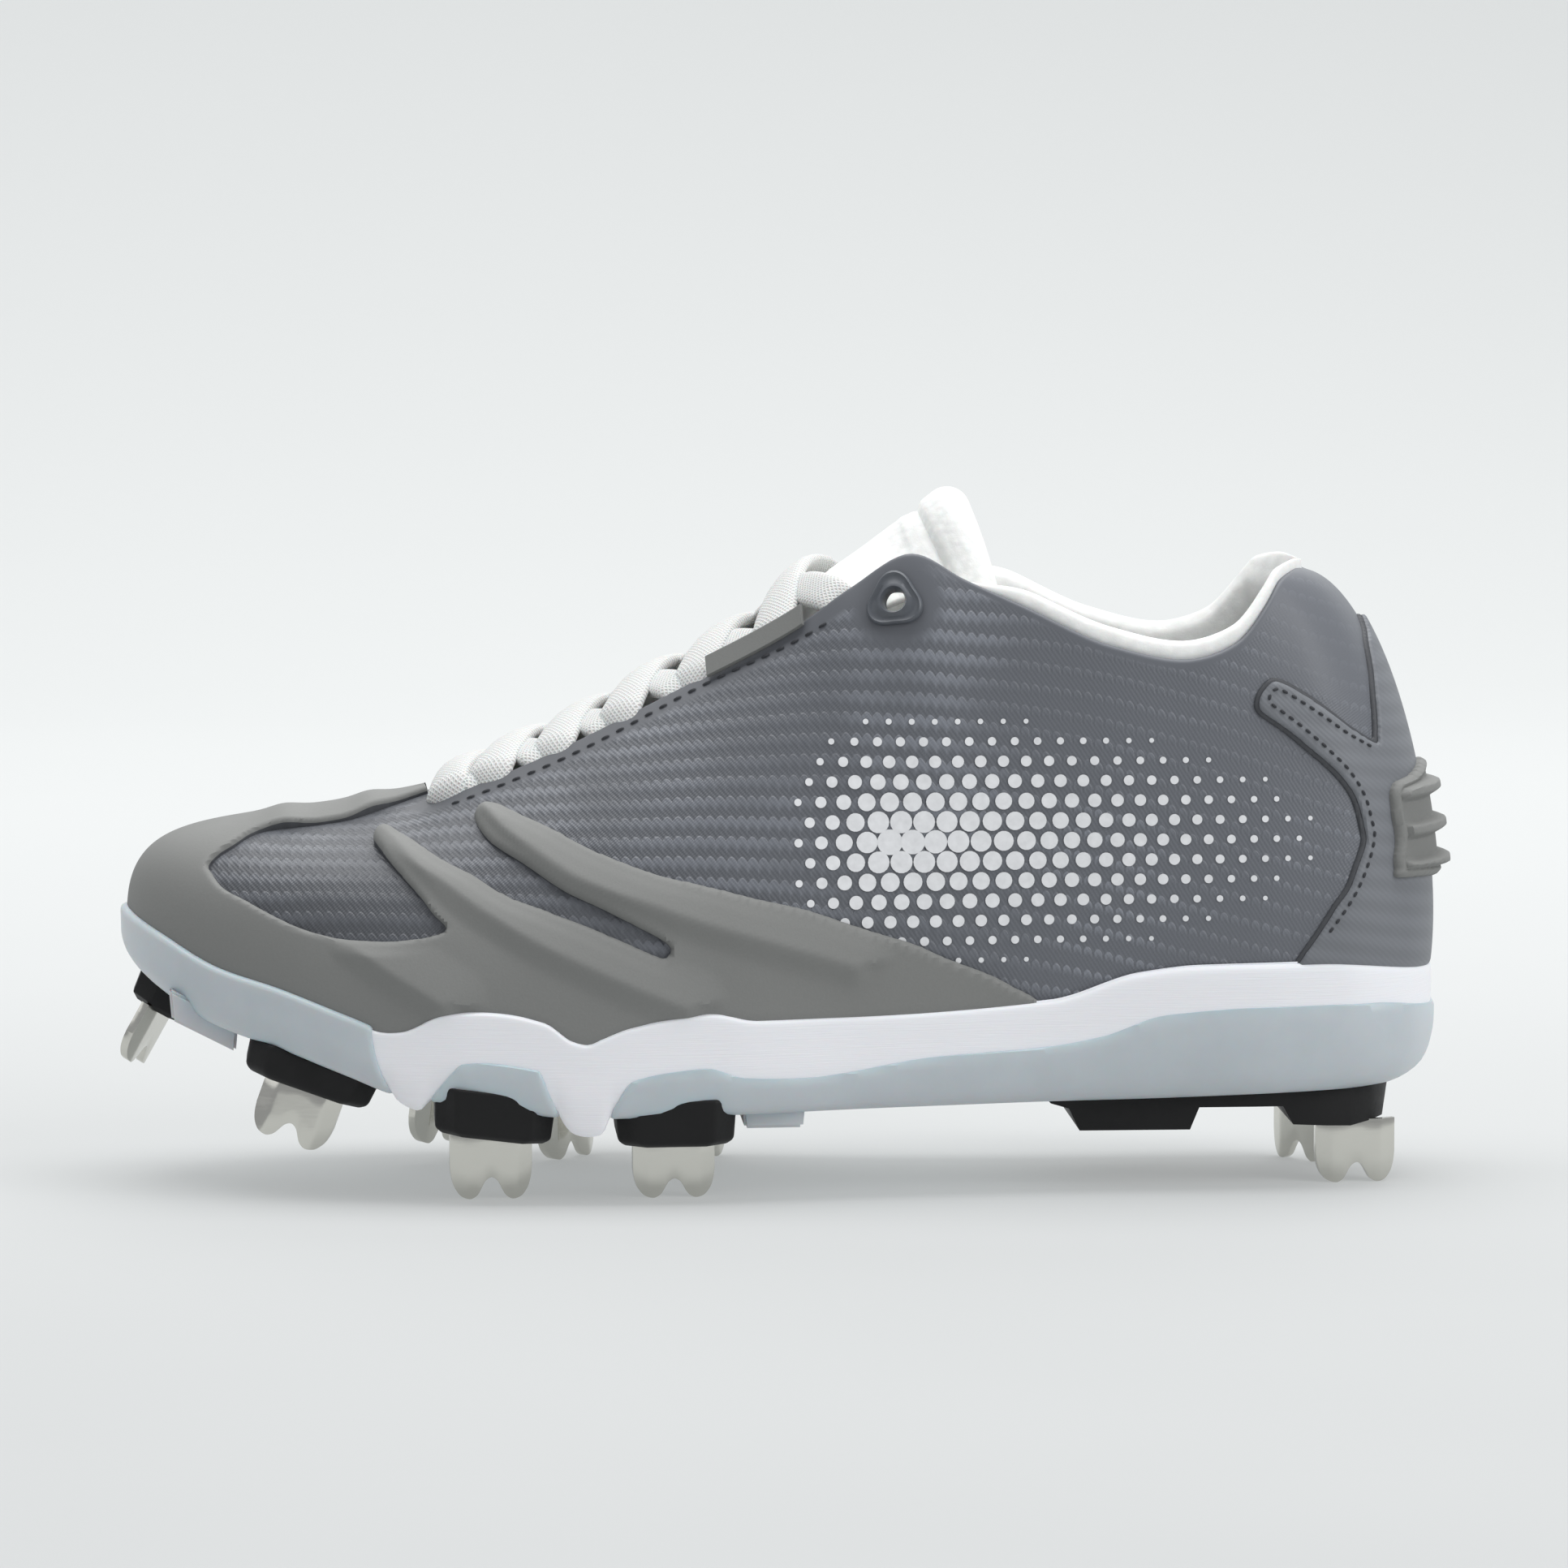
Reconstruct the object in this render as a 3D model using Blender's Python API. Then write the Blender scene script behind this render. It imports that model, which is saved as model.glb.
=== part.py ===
"""A left baseball cleat as an assembly of closed solids.

Metres, +Z up, toe towards -X, outer side towards -Y. The floor is at z = 0 and the steel
blades of forefoot and heel stand on it. The origin is the middle of the shoe on the floor.
"""

import math
from collections import namedtuple

import bmesh
import bpy
import numpy as np
from mathutils import Matrix, Vector

# Driving dimensions of the shoe
SHOE_LENGTH = 0.291
BALL_WIDTH = 0.098
HEEL_WIDTH = 0.072
INSTEP_HEIGHT = 0.1396
HEEL_HEIGHT = 0.1350
TOE_SPRING = 0.030

# Driving dimensions of the sole
BLADE_REACH = 0.0125
PAD_DEPTH = 0.0075
RIM_HEIGHT = 0.029
HEEL_STACK = 0.019
PRONG_DEPTH = 0.0070
PRONG_SLOPE = 0.0025
EDGE_ROUND = 0.0065
TOE_JOINT = 1.30
LUG_DEPTH = 0.0045
LUG_ROOT = 0.0015
LUG_TAPER = 0.0012

# Driving dimensions of the upper and what it carries
UPPER_WALL = 0.0020
RIM_LEAN_START = 0.0026
TOE_CENTRE = 0.055
OVERLAY_WALL = 0.0014
COUNTER_WALL = 0.0013
INSOLE_THICKNESS = 0.0035
TONGUE_THICKNESS = 0.0075
TONGUE_PLAY = 0.0004
TONGUE_EDGE_LOSS = 0.55
COLLAR_PAD = 0.0055
COLLAR_STAND = 0.0030
COLLAR_START = 0.61
COLLAR_FOOT = 0.62
COLLAR_CLEARING = (0.56, 0.60)
EYELET_HOLE = 0.0027
EYELET_RIM = 0.0035
EYELET_SEAT = 0.0006
EYELET_HEIGHT = 0.0013
EYELET_TAPER = 0.92
EYELET_BULGE = 0.13
EYELET_AROUND = 0.588
EYELET_RISE = 0.855
EYELET_DRILL = 0.016
TAB_ENDS = (0.476, 0.540)
TAB_FOOT = 0.985
TAB_REACH = 0.0046
TAB_UPRIGHT = 1.6
TAB_SEAT = 0.0003
TAB_WALL = 0.0013
LACE_WIDTH = 0.0072
LACE_THICKNESS = 0.0024
LACE_CROSSINGS = 6
LACE_ENDS = (0.262, 0.560)
LACE_RAISE = (0.38, 0.14)
LACE_EDGE_GAP = 0.0052
LACE_LIFT = 0.0009
GRIP_BASE = 0.0012
GRIP_RIB = 0.0032
GRIP_SPAN = (0.22, 0.50)
GRIP_RIBS = (0.504, 0.560, 0.618)
GRIP_RIB_WIDTH = 0.0130

# Driving dimensions of a stud
BLADE_WIDTH = 0.018
BLADE_THICKNESS = 0.0018
BLADE_BEND = math.radians(24)
BLADE_BEND_START = 0.62
PAD_ROOT = 0.0060
PAD_CORNER = 0.0045
PAD_PROBES = 15
HEEL_PLATE_THICKNESS = 0.0021
TOE_JOINT_END = (0.178, 0.196)
HEEL_PAD_DEPTH = 0.0070
HEEL_PLATE_INSET = 0.0095

# Clearance between pieces that touch on the real shoe
PART_GAP = 0.0003

# Faceting
RING_COUNT = 76
JOINT_COUNT = 112
UPPER_COLUMNS = 54
UPPER_ROWS = 9
ROW_CROWDING = 0.9
EYELET_SIDES = 15
TONGUE_COLUMNS = 10
TONGUE_ROWS = 14
LACE_STEPS = 5
GRIP_COLUMNS = 4

# Half width, floor and ceiling of the blocks that pieces are cut with
CUT_HALF = 0.09
CUT_FLOOR = -0.01
CUT_CEILING = 0.15

OutlineRow = namedtuple("OutlineRow", "along lateral medial")
# Half widths of the sole as shares of the width at that station
OUTLINE = (
    OutlineRow(0.00, -0.102, 0.102),
    OutlineRow(0.02, 0.143, 0.245),
    OutlineRow(0.05, 0.255, 0.337),
    OutlineRow(0.10, 0.357, 0.408),
    OutlineRow(0.18, 0.444, 0.459),
    OutlineRow(0.27, 0.495, 0.480),
    OutlineRow(0.36, 0.515, 0.464),
    OutlineRow(0.45, 0.495, 0.408),
    OutlineRow(0.55, 0.471, 0.372),
    OutlineRow(0.65, 0.489, 0.407),
    OutlineRow(0.75, 0.507, 0.458),
    OutlineRow(0.85, 0.500, 0.479),
    OutlineRow(0.92, 0.465, 0.451),
    OutlineRow(0.97, 0.347, 0.347),
    OutlineRow(1.00, 0.000, 0.000),
)

ProfileRow = namedtuple("ProfileRow", "along spring footbed rounding")
# Bottom line as a share of the toe spring, foot bed as a share of the heel stack,
# and how far the bottom edge is rounded in as a share of the edge round
PROFILE = (
    ProfileRow(0.00, 1.00, 0.26, 0.60),
    ProfileRow(0.03, 0.83, 0.27, 0.50),
    ProfileRow(0.07, 0.62, 0.28, 0.40),
    ProfileRow(0.12, 0.47, 0.32, 0.35),
    ProfileRow(0.17, 0.29, 0.36, 0.35),
    ProfileRow(0.21, 0.15, 0.41, 0.35),
    ProfileRow(0.26, 0.09, 0.44, 0.35),
    ProfileRow(0.35, 0.00, 0.45, 0.35),
    ProfileRow(0.45, 0.01, 0.53, 0.45),
    ProfileRow(0.55, 0.02, 0.63, 0.60),
    ProfileRow(0.65, 0.03, 0.76, 0.70),
    ProfileRow(0.75, 0.045, 0.89, 0.80),
    ProfileRow(0.85, 0.07, 0.97, 0.90),
    ProfileRow(1.00, 0.12, 1.00, 1.00),
)

RimRow = namedtuple("RimRow", "along height")
# Top of the rim above the bottom line as a share of the rim height
RIM_LATERAL = (
    RimRow(0.000, 0.35), RimRow(0.036, 0.39), RimRow(0.120, 0.41), RimRow(0.186, 0.41),
    RimRow(0.209, 0.47), RimRow(0.244, 0.66), RimRow(0.290, 0.71), RimRow(0.316, 0.68),
    RimRow(0.337, 0.56), RimRow(0.348, 0.54), RimRow(0.358, 0.58), RimRow(0.380, 0.66),
    RimRow(0.440, 0.75), RimRow(0.476, 0.69), RimRow(0.540, 0.69), RimRow(0.697, 0.76),
    RimRow(0.765, 0.95), RimRow(0.810, 0.99), RimRow(0.900, 0.98), RimRow(1.000, 0.84),
)
RIM_MEDIAL = (
    RimRow(0.000, 0.35), RimRow(0.036, 0.39), RimRow(0.120, 0.41), RimRow(0.175, 0.42),
    RimRow(0.225, 0.64), RimRow(0.270, 0.70), RimRow(0.296, 0.60), RimRow(0.320, 0.69),
    RimRow(0.365, 0.71), RimRow(0.392, 0.60), RimRow(0.420, 0.70), RimRow(0.470, 0.75),
    RimRow(0.600, 0.80), RimRow(0.765, 0.95), RimRow(0.810, 0.99), RimRow(0.900, 0.98),
    RimRow(1.000, 0.84),
)

JointRow = namedtuple("JointRow", "along height")
# Line between white band and grey side wall above the bottom line, same share
JOINT_LATERAL = (
    JointRow(0.000, 1.30), JointRow(0.183, 1.30), JointRow(0.187, 0.41), JointRow(0.199, 0.03),
    JointRow(0.206, -0.06), JointRow(0.221, -0.10), JointRow(0.228, -0.03),
    JointRow(0.246, 0.20), JointRow(0.255, 0.29), JointRow(0.290, 0.33), JointRow(0.311, 0.32),
    JointRow(0.320, 0.13), JointRow(0.331, -0.08), JointRow(0.338, -0.135),
    JointRow(0.348, -0.15), JointRow(0.358, -0.135), JointRow(0.367, 0.05),
    JointRow(0.382, 0.26),
    JointRow(0.422, 0.33), JointRow(0.436, 0.34), JointRow(0.465, 0.26),
    JointRow(0.508, 0.24), JointRow(0.608, 0.36), JointRow(0.697, 0.41),
    JointRow(0.735, 0.47), JointRow(0.785, 0.62), JointRow(0.850, 0.65),
    JointRow(0.945, 0.63), JointRow(1.000, 0.53),
)
JOINT_MEDIAL = (
    JointRow(0.000, 1.30), JointRow(0.168, 1.30), JointRow(0.173, 0.41), JointRow(0.186, 0.03),
    JointRow(0.193, -0.08), JointRow(0.205, -0.10), JointRow(0.213, -0.03),
    JointRow(0.229, 0.22), JointRow(0.238, 0.30), JointRow(0.266, 0.32), JointRow(0.277, 0.24),
    JointRow(0.286, 0.02), JointRow(0.292, -0.12), JointRow(0.302, -0.12),
    JointRow(0.308, 0.02), JointRow(0.318, 0.24), JointRow(0.330, 0.31), JointRow(0.358, 0.31),
    JointRow(0.370, 0.22), JointRow(0.381, -0.02), JointRow(0.388, -0.13),
    JointRow(0.400, -0.13), JointRow(0.408, 0.04), JointRow(0.420, 0.25),
    JointRow(0.460, 0.33), JointRow(0.530, 0.32), JointRow(0.697, 0.43),
    JointRow(0.785, 0.62), JointRow(0.850, 0.65), JointRow(0.945, 0.63),
    JointRow(1.000, 0.53),
)

TopRow = namedtuple("TopRow", "around along ball heel instep height")
# Top edge of the upper from the throat front round the collar to the heel: place along
# the shoe, half opening in shares of ball and heel width, height in shares of instep
# height and heel height
TOP_EDGE = (
    TopRow(0.00, 0.2306, 0.000, 0.000, 0.615, 0.000),
    TopRow(0.10, 0.2325, 0.055, 0.000, 0.613, 0.000),
    TopRow(0.20, 0.2380, 0.120, 0.000, 0.608, 0.000),
    TopRow(0.27, 0.2580, 0.168, 0.000, 0.625, 0.000),
    TopRow(0.35, 0.3180, 0.189, 0.000, 0.678, 0.000),
    TopRow(0.45, 0.4150, 0.199, 0.000, 0.779, 0.000),
    TopRow(0.53, 0.5070, 0.222, 0.000, 0.882, 0.000),
    TopRow(0.57, 0.5510, 0.245, 0.000, 0.948, 0.000),
    TopRow(0.60, 0.5950, 0.240, 0.035, 1.000, 0.000),
    TopRow(0.63, 0.6350, 0.150, 0.185, 0.700, 0.268),
    TopRow(0.67, 0.6870, 0.100, 0.290, 0.420, 0.505),
    TopRow(0.72, 0.7450, 0.040, 0.390, 0.250, 0.625),
    TopRow(0.77, 0.8030, 0.000, 0.440, 0.150, 0.706),
    TopRow(0.81, 0.8400, 0.000, 0.420, 0.100, 0.785),
    TopRow(0.85, 0.8640, 0.000, 0.370, 0.050, 0.896),
    TopRow(0.89, 0.8770, 0.000, 0.300, 0.000, 0.990),
    TopRow(0.94, 0.8920, 0.000, 0.165, 0.000, 1.005),
    TopRow(1.00, 0.9000, 0.000, 0.000, 0.000, 1.000),
)

RibRow = namedtuple("RibRow", "around lean rise reach drop")
# Shape of the upper's ribs: lean out as a share of the ball width, rise and drop as shares
# of the rib's height, reach as a share of its plan length
RIBS = (
    RibRow(0.00, 0.030, 0.92, 0.720, 0.330),
    RibRow(0.17, 0.026, 0.84, 0.720, 0.290),
    RibRow(0.25, 0.022, 0.66, 0.660, 0.200),
    RibRow(0.32, 0.020, 0.56, 0.600, 0.180),
    RibRow(0.42, 0.020, 0.50, 0.550, 0.150),
    RibRow(0.50, 0.020, 0.44, 0.550, 0.130),
    RibRow(0.60, 0.022, 0.36, 0.600, 0.120),
    RibRow(0.72, 0.024, 0.34, 0.700, 0.200),
    RibRow(0.82, 0.036, 0.32, 0.600, 0.200),
    RibRow(0.91, 0.050, 0.30, 0.620, 0.100),
    RibRow(1.00, 0.062, 0.30, 0.720, 0.030),
)

TongueRow = namedtuple("TongueRow", "around depth forward inward up pad")
# Tongue sections: where the edge lies on the upper, the handle of the section's curve as
# shares of the instep height, and the thickness as a share of the tongue's
TONGUE = (
    TongueRow(0.225, 0.965, 0.000, 0.050, 0.010, 0.35),
    TongueRow(0.270, 0.950, 0.000, 0.070, 0.032, 0.40),
    TongueRow(0.340, 0.940, 0.000, 0.085, 0.038, 0.42),
    TongueRow(0.420, 0.935, 0.000, 0.095, 0.044, 0.44),
    TongueRow(0.500, 0.930, 0.010, 0.105, 0.052, 0.46),
    TongueRow(0.560, 0.920, 0.030, 0.115, 0.076, 0.50),
    TongueRow(0.600, 0.900, 0.045, 0.125, 0.118, 0.60),
    TongueRow(0.630, 0.890, 0.100, 0.090, 0.200, 0.85),
    TongueRow(0.650, 0.880, 0.130, 0.070, 0.270, 1.00),
)

StudRow = namedtuple("StudRow", "name along across length width turn lift")
# Stud pads: middle along the shoe, middle across as a share of the ball width, length and
# width as shares of the ball width, turn of the blade, blade's height above the floor as
# a share of the blade reach
STUDS = (
    StudRow("a", 0.1460, -0.262, 0.300, 0.235, -8.0, 0.86),
    StudRow("b", 0.2800, -0.345, 0.270, 0.270, 4.0, 0.00),
    StudRow("c", 0.4140, -0.345, 0.270, 0.270, 5.0, 0.00),
    StudRow("d", 0.0400, 0.095, 0.170, 0.180, 72.0, 2.00),
    StudRow("e", 0.2480, 0.300, 0.230, 0.220, 52.0, 0.30),
    StudRow("f", 0.3440, 0.312, 0.230, 0.220, 48.0, 0.00),
    StudRow("g", 0.4420, 0.285, 0.230, 0.220, 40.0, 0.00),
)

HeelBladeRow = namedtuple("HeelBladeRow", "name along across turn")
HEEL_BLADES = (
    HeelBladeRow("lateral", 0.9360, -0.250, 8.0),
    HeelBladeRow("medial", 0.9080, 0.250, -52.0),
)

PadRow = namedtuple("PadRow", "shrink depth")
# A pad's lower edge: how far it is taken in, at a share of the pad's depth
PAD_EDGE = (PadRow(0.0000, 0.16), PadRow(0.0006, 0.80), PadRow(0.0022, 0.96))

PlateRow = namedtuple("PlateRow", "along depth lower")
# Underside of the heel plate from the back: depth between plate and pad as a share, and
# how much lower than that in metres
HEEL_PLATE = (
    PlateRow(0.962, 0.0, -0.0005), PlateRow(0.958, 1.0, -0.0012), PlateRow(0.930, 1.0, 0.0),
    PlateRow(0.885, 1.0, -0.0008), PlateRow(0.877, 0.0, 0.0), PlateRow(0.813, 0.0, 0.0),
    PlateRow(0.806, 1.0, 0.0), PlateRow(0.722, 1.0, 0.0), PlateRow(0.714, 0.0, 0.0),
    PlateRow(0.700, 0.0, -0.0012),
)
HEEL_PLATE_ENDS = (0.695, 0.966)

LugRow = namedtuple("LugRow", "low high across wide depth")
# Moulded lugs of the outsole: start and end along, middle and width as shares of the ball
# width, depth as a share of the lug depth
LUGS = (
    LugRow(0.036, 0.088, -0.160, 0.200, 1.20),
    LugRow(0.464, 0.512, -0.300, 0.240, 1.00),
    LugRow(0.500, 0.540, 0.250, 0.200, 0.80),
)

BladeRow = namedtuple("BladeRow", "across depth")
# Lower edge of a blade: across as a share of its half width, depth as a share of its reach
BLADE_EDGE = (
    BladeRow(-1.00, 0.55), BladeRow(-0.92, 0.82), BladeRow(-0.62, 1.00), BladeRow(-0.36, 1.00),
    BladeRow(-0.05, 0.66), BladeRow(0.05, 0.66), BladeRow(0.36, 1.00), BladeRow(0.62, 1.00),
    BladeRow(0.92, 0.82), BladeRow(1.00, 0.55),
)

# Outlines seen from the side: share of the shoe length and share of the instep height
SidePoint = namedtuple("SidePoint", "along height")
TOE_OVERLAY = (
    SidePoint(0.730, 0.270), SidePoint(0.696, 0.306), SidePoint(0.650, 0.353),
    SidePoint(0.600, 0.397), SidePoint(0.553, 0.433), SidePoint(0.500, 0.466),
    SidePoint(0.427, 0.504), SidePoint(0.380, 0.530), SidePoint(0.331, 0.571),
    SidePoint(0.286, 0.611), SidePoint(0.274, 0.610), SidePoint(0.268, 0.595),
    SidePoint(0.283, 0.556), SidePoint(0.330, 0.494), SidePoint(0.388, 0.435),
    SidePoint(0.410, 0.412), SidePoint(0.409, 0.396), SidePoint(0.378, 0.412),
    SidePoint(0.320, 0.456), SidePoint(0.263, 0.511), SidePoint(0.219, 0.565),
    SidePoint(0.205, 0.581), SidePoint(0.195, 0.581), SidePoint(0.191, 0.570),
    SidePoint(0.212, 0.518), SidePoint(0.238, 0.454), SidePoint(0.243, 0.434),
    SidePoint(0.235, 0.423), SidePoint(0.189, 0.418), SidePoint(0.142, 0.435),
    SidePoint(0.096, 0.475), SidePoint(0.070, 0.514), SidePoint(0.076, 0.543),
    SidePoint(0.089, 0.559), SidePoint(0.089, 0.800), SidePoint(-0.100, 0.800),
    SidePoint(-0.100, 0.150), SidePoint(0.730, 0.150),
)
SpineRow = namedtuple("SpineRow", "along half")
# Spine of the toe cap seen from above: half width as a share of the ball width
SPINE = (
    SpineRow(0.080, 0.200), SpineRow(0.115, 0.135), SpineRow(0.156, 0.140),
    SpineRow(0.181, 0.120), SpineRow(0.206, 0.080), SpineRow(0.2290, 0.045),
)
COUNTER = (
    SidePoint(0.880, 0.320), SidePoint(0.903, 0.411), SidePoint(0.925, 0.481),
    SidePoint(0.936, 0.555), SidePoint(0.932, 0.600), SidePoint(0.910, 0.673),
    SidePoint(0.875, 0.746), SidePoint(0.860, 0.781), SidePoint(0.863, 0.804),
    SidePoint(0.876, 0.806), SidePoint(0.899, 0.774), SidePoint(0.946, 0.706),
    SidePoint(0.951, 0.722), SidePoint(0.945, 0.865), SidePoint(1.100, 0.880),
    SidePoint(1.100, 0.200), SidePoint(0.880, 0.200),
)
GRIP = (
    SidePoint(0.954, 0.650), SidePoint(0.957, 0.610), SidePoint(0.961, 0.512),
    SidePoint(0.970, 0.482), SidePoint(1.100, 0.482), SidePoint(1.100, 0.660),
    SidePoint(0.972, 0.660),
)

MATERIALS = {
    "outsole_rubber": ((0.39, 0.45, 0.49), 0.45, 0.0),
    "midsole_foam": ((0.84, 0.84, 0.87), 0.55, 0.0),
    "woven_upper": ((0.135, 0.143, 0.155), 0.50, 0.0),
    "overlay_rubber": ((0.165, 0.168, 0.163), 0.75, 0.0),
    "counter_film": ((0.155, 0.163, 0.172), 0.55, 0.0),
    "white_textile": ((0.85, 0.85, 0.85), 0.90, 0.0),
    "black_plastic": ((0.012, 0.012, 0.013), 0.50, 0.0),
    "blade_steel": ((0.66, 0.64, 0.58), 0.30, 1.0),
}


def clear_scene():
    """Remove every object that the file starts with."""
    for item in list(bpy.data.objects):
        bpy.data.objects.remove(item, do_unlink=True)


def smooth_curve(places, values):
    """Return a curve through the rows that never swings past them."""
    xs = np.asarray(places, dtype=float)
    ys = np.asarray(values, dtype=float)
    steps = np.diff(xs)
    slopes = np.diff(ys) / steps
    tangents = np.zeros_like(ys)
    tangents[0] = slopes[0]
    tangents[-1] = slopes[-1]
    for row in range(1, len(xs) - 1):
        before, after = slopes[row - 1], slopes[row]
        if before * after > 0:
            first = 2 * steps[row] + steps[row - 1]
            second = steps[row] + 2 * steps[row - 1]
            tangents[row] = (first + second) / (first / before + second / after)

    def value(place):
        place = np.clip(place, xs[0], xs[-1])
        row = np.clip(np.searchsorted(xs, place) - 1, 0, len(steps) - 1)
        part = (place - xs[row]) / steps[row]
        square, cube = part ** 2, part ** 3
        return ((2 * cube - 3 * square + 1) * ys[row]
                + (cube - 2 * square + part) * steps[row] * tangents[row]
                + (3 * square - 2 * cube) * ys[row + 1]
                + (cube - square) * steps[row] * tangents[row + 1])

    return value


def column(rows, name, key="along"):
    """Return the curve of one named column of a table."""
    return smooth_curve([getattr(row, key) for row in rows], [getattr(row, name) for row in rows])


def blend(low, high, place):
    """Return a soft step from 0 at low to 1 at high."""
    part = np.clip((place - low) / (high - low), 0, 1)
    return part * part * (3 - 2 * part)


SPRING = column(PROFILE, "spring")
FOOTBED = column(PROFILE, "footbed")
ROUNDING = column(PROFILE, "rounding")
RIM_LINES = (column(RIM_LATERAL, "height"), column(RIM_MEDIAL, "height"))
JOINT_LINES = (column(JOINT_LATERAL, "height"), column(JOINT_MEDIAL, "height"))


def bottom_height(along):
    """Height of the outsole's bottom line over the floor."""
    return BLADE_REACH + PAD_DEPTH + TOE_SPRING * SPRING(along)


def footbed_height(along):
    """Height of the foot bed that upper and insole stand on."""
    return bottom_height(along) + HEEL_STACK * FOOTBED(along)


def side_line(lines, around_ring, along):
    """Read the lateral or the medial line, by the half of the ring."""
    return np.where(around_ring < 0.5, lines[0](along), lines[1](along))


def rim_height(ring, along):
    """Height of the rim's top edge."""
    return bottom_height(along) + RIM_HEIGHT * side_line(RIM_LINES, ring, along)


def joint_height(ring, along):
    """Height of the line between the white band and the grey side wall."""
    return bottom_height(along) + RIM_HEIGHT * side_line(JOINT_LINES, ring, along)


def foot_width(along):
    """Width that the outline's shares refer to."""
    return BALL_WIDTH + (HEEL_WIDTH - BALL_WIDTH) * blend(0.45, 0.75, along)


class SolePlan:
    """The sole's outline, walked by a ring place from 0 at the toe round to 1."""

    SAMPLES = 900

    def __init__(self):
        turn = np.linspace(0, 1, self.SAMPLES)
        along = 0.5 - 0.5 * np.cos(np.pi * turn)
        self.halves = []
        walked = np.zeros_like(turn)
        for side, name in ((-1, "lateral"), (1, "medial")):
            keys = [math.acos(1 - 2 * row.along) / math.pi for row in OUTLINE]
            share = smooth_curve(keys, [getattr(row, name) for row in OUTLINE])(turn)
            points = np.stack([(along - 0.5) * SHOE_LENGTH, side * share * foot_width(along)], 1)
            steps = np.linalg.norm(np.diff(points, axis=0), axis=1)
            walked[1:] += np.cumsum(steps)
            self.halves.append(points)
        self.share = walked / walked[-1]

    def raw(self, ring):
        """Outline point at a ring place."""
        ring = np.mod(ring, 1.0)
        out = np.zeros(ring.shape + (2,))
        for index, half in enumerate((ring <= 0.5, ring > 0.5)):
            place = ring * 2 if index == 0 else 2 - ring * 2
            for axis in range(2):
                line = np.interp(place, self.share, self.halves[index][:, axis])
                out[..., axis] = np.where(half, line, out[..., axis])
        return out

    def point(self, ring, inset=0.0):
        """Outline point moved in by an inset, and the inward direction."""
        ring = np.asarray(ring, dtype=float)
        step = 0.006
        ahead = self.raw(ring + step) - self.raw(ring - step)
        ahead /= np.linalg.norm(ahead, axis=-1, keepdims=True)
        inward = np.stack([-ahead[..., 1], ahead[..., 0]], -1)
        return self.raw(ring) + inward * np.asarray(inset)[..., None], inward


PLAN = SolePlan()


def along_of(x):
    """Share of the length at an X."""
    return x / SHOE_LENGTH + 0.5


def around_of(ring):
    """Place from 0 at the toe to 1 at the heel, on either side."""
    ring = np.mod(ring, 1.0)
    return np.where(ring <= 0.5, 2 * ring, 2 - 2 * ring)


TOP = {name: column(TOP_EDGE, name, "around") for name in TopRow._fields[1:]}
RIB = {name: column(RIBS, name, "around") for name in RibRow._fields[1:]}
TONGUE_CURVES = {name: column(TONGUE, name, "around") for name in TongueRow._fields[1:]}


def rib_points(ring, rise):
    """Outer surface of the upper: a rib at each ring place, read at each rise from 0 to 1."""
    ring = np.asarray(ring, dtype=float)
    around = around_of(ring)
    side = np.where(np.mod(ring, 1.0) <= 0.5, -1.0, 1.0)
    foot, inward = PLAN.point(ring, RIM_LEAN_START)
    floor = footbed_height(along_of(foot[..., 0])) + PART_GAP
    start = np.concatenate([foot, floor[..., None]], -1)
    centre = BALL_WIDTH * TOE_CENTRE * (1 - blend(0.25, 0.75, TOP["along"](around)))
    half = BALL_WIDTH * TOP["ball"](around) + HEEL_WIDTH * TOP["heel"](around)
    height = INSTEP_HEIGHT * TOP["instep"](around) + HEEL_HEIGHT * TOP["height"](around)
    end = np.stack([(TOP["along"](around) - 0.5) * SHOE_LENGTH, centre + side * half, height], -1)
    tall = (end - start)[..., 2]
    low = start.copy()
    low[..., :2] -= inward * (RIB["lean"](around) * BALL_WIDTH)[..., None]
    low[..., 2] += RIB["rise"](around) * tall
    high = end.copy()
    high[..., :2] += (start - end)[..., :2] * RIB["reach"](around)[..., None]
    high[..., 2] -= RIB["drop"](around) * tall
    part = np.asarray(rise, dtype=float)[..., None]
    rest = 1 - part
    return (start * rest ** 3 + low * (3 * rest ** 2 * part)
            + high * (3 * rest * part ** 2) + end * part ** 3)


def upper_surface(ring, rise, offset=0.0):
    """Point of the upper's outer surface, moved out along its normal."""
    ring, rise = np.broadcast_arrays(np.asarray(ring, dtype=float), np.asarray(rise, dtype=float))
    step = 0.004
    here = rib_points(ring, rise)
    across = rib_points(ring + step, rise) - rib_points(ring - step, rise)
    upward = rib_points(ring, rise + step) - rib_points(ring, np.maximum(rise - step, 0))
    normal = np.cross(across, upward)
    normal /= np.linalg.norm(normal, axis=-1, keepdims=True)
    return here + normal * np.asarray(offset)[..., None]


def rise_at_height(ring, height):
    """How far up its rib the upper reaches a height, low on the rib."""
    rises = np.linspace(0, 0.6, 61)
    heights = rib_points(np.asarray(ring)[:, None], rises[None, :])[..., 2]
    return np.array([np.interp(level, line, rises) for level, line in zip(height, heights)])


def ring_places(count):
    """Evenly spaced ring places, the first at the toe tip."""
    return np.arange(count) / count


def new_object(name, bm, material):
    """Turn a mesh under work into a named object with its material."""
    mesh = bpy.data.meshes.new(name)
    bmesh.ops.recalc_face_normals(bm, faces=bm.faces)
    bm.to_mesh(mesh)
    bm.free()
    item = bpy.data.objects.new(name, mesh)
    bpy.context.scene.collection.objects.link(item)
    mesh.materials.append(material_of(material))
    mesh.shade_smooth()
    mesh.set_sharp_from_angle(angle=math.radians(35))
    return item


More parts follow.
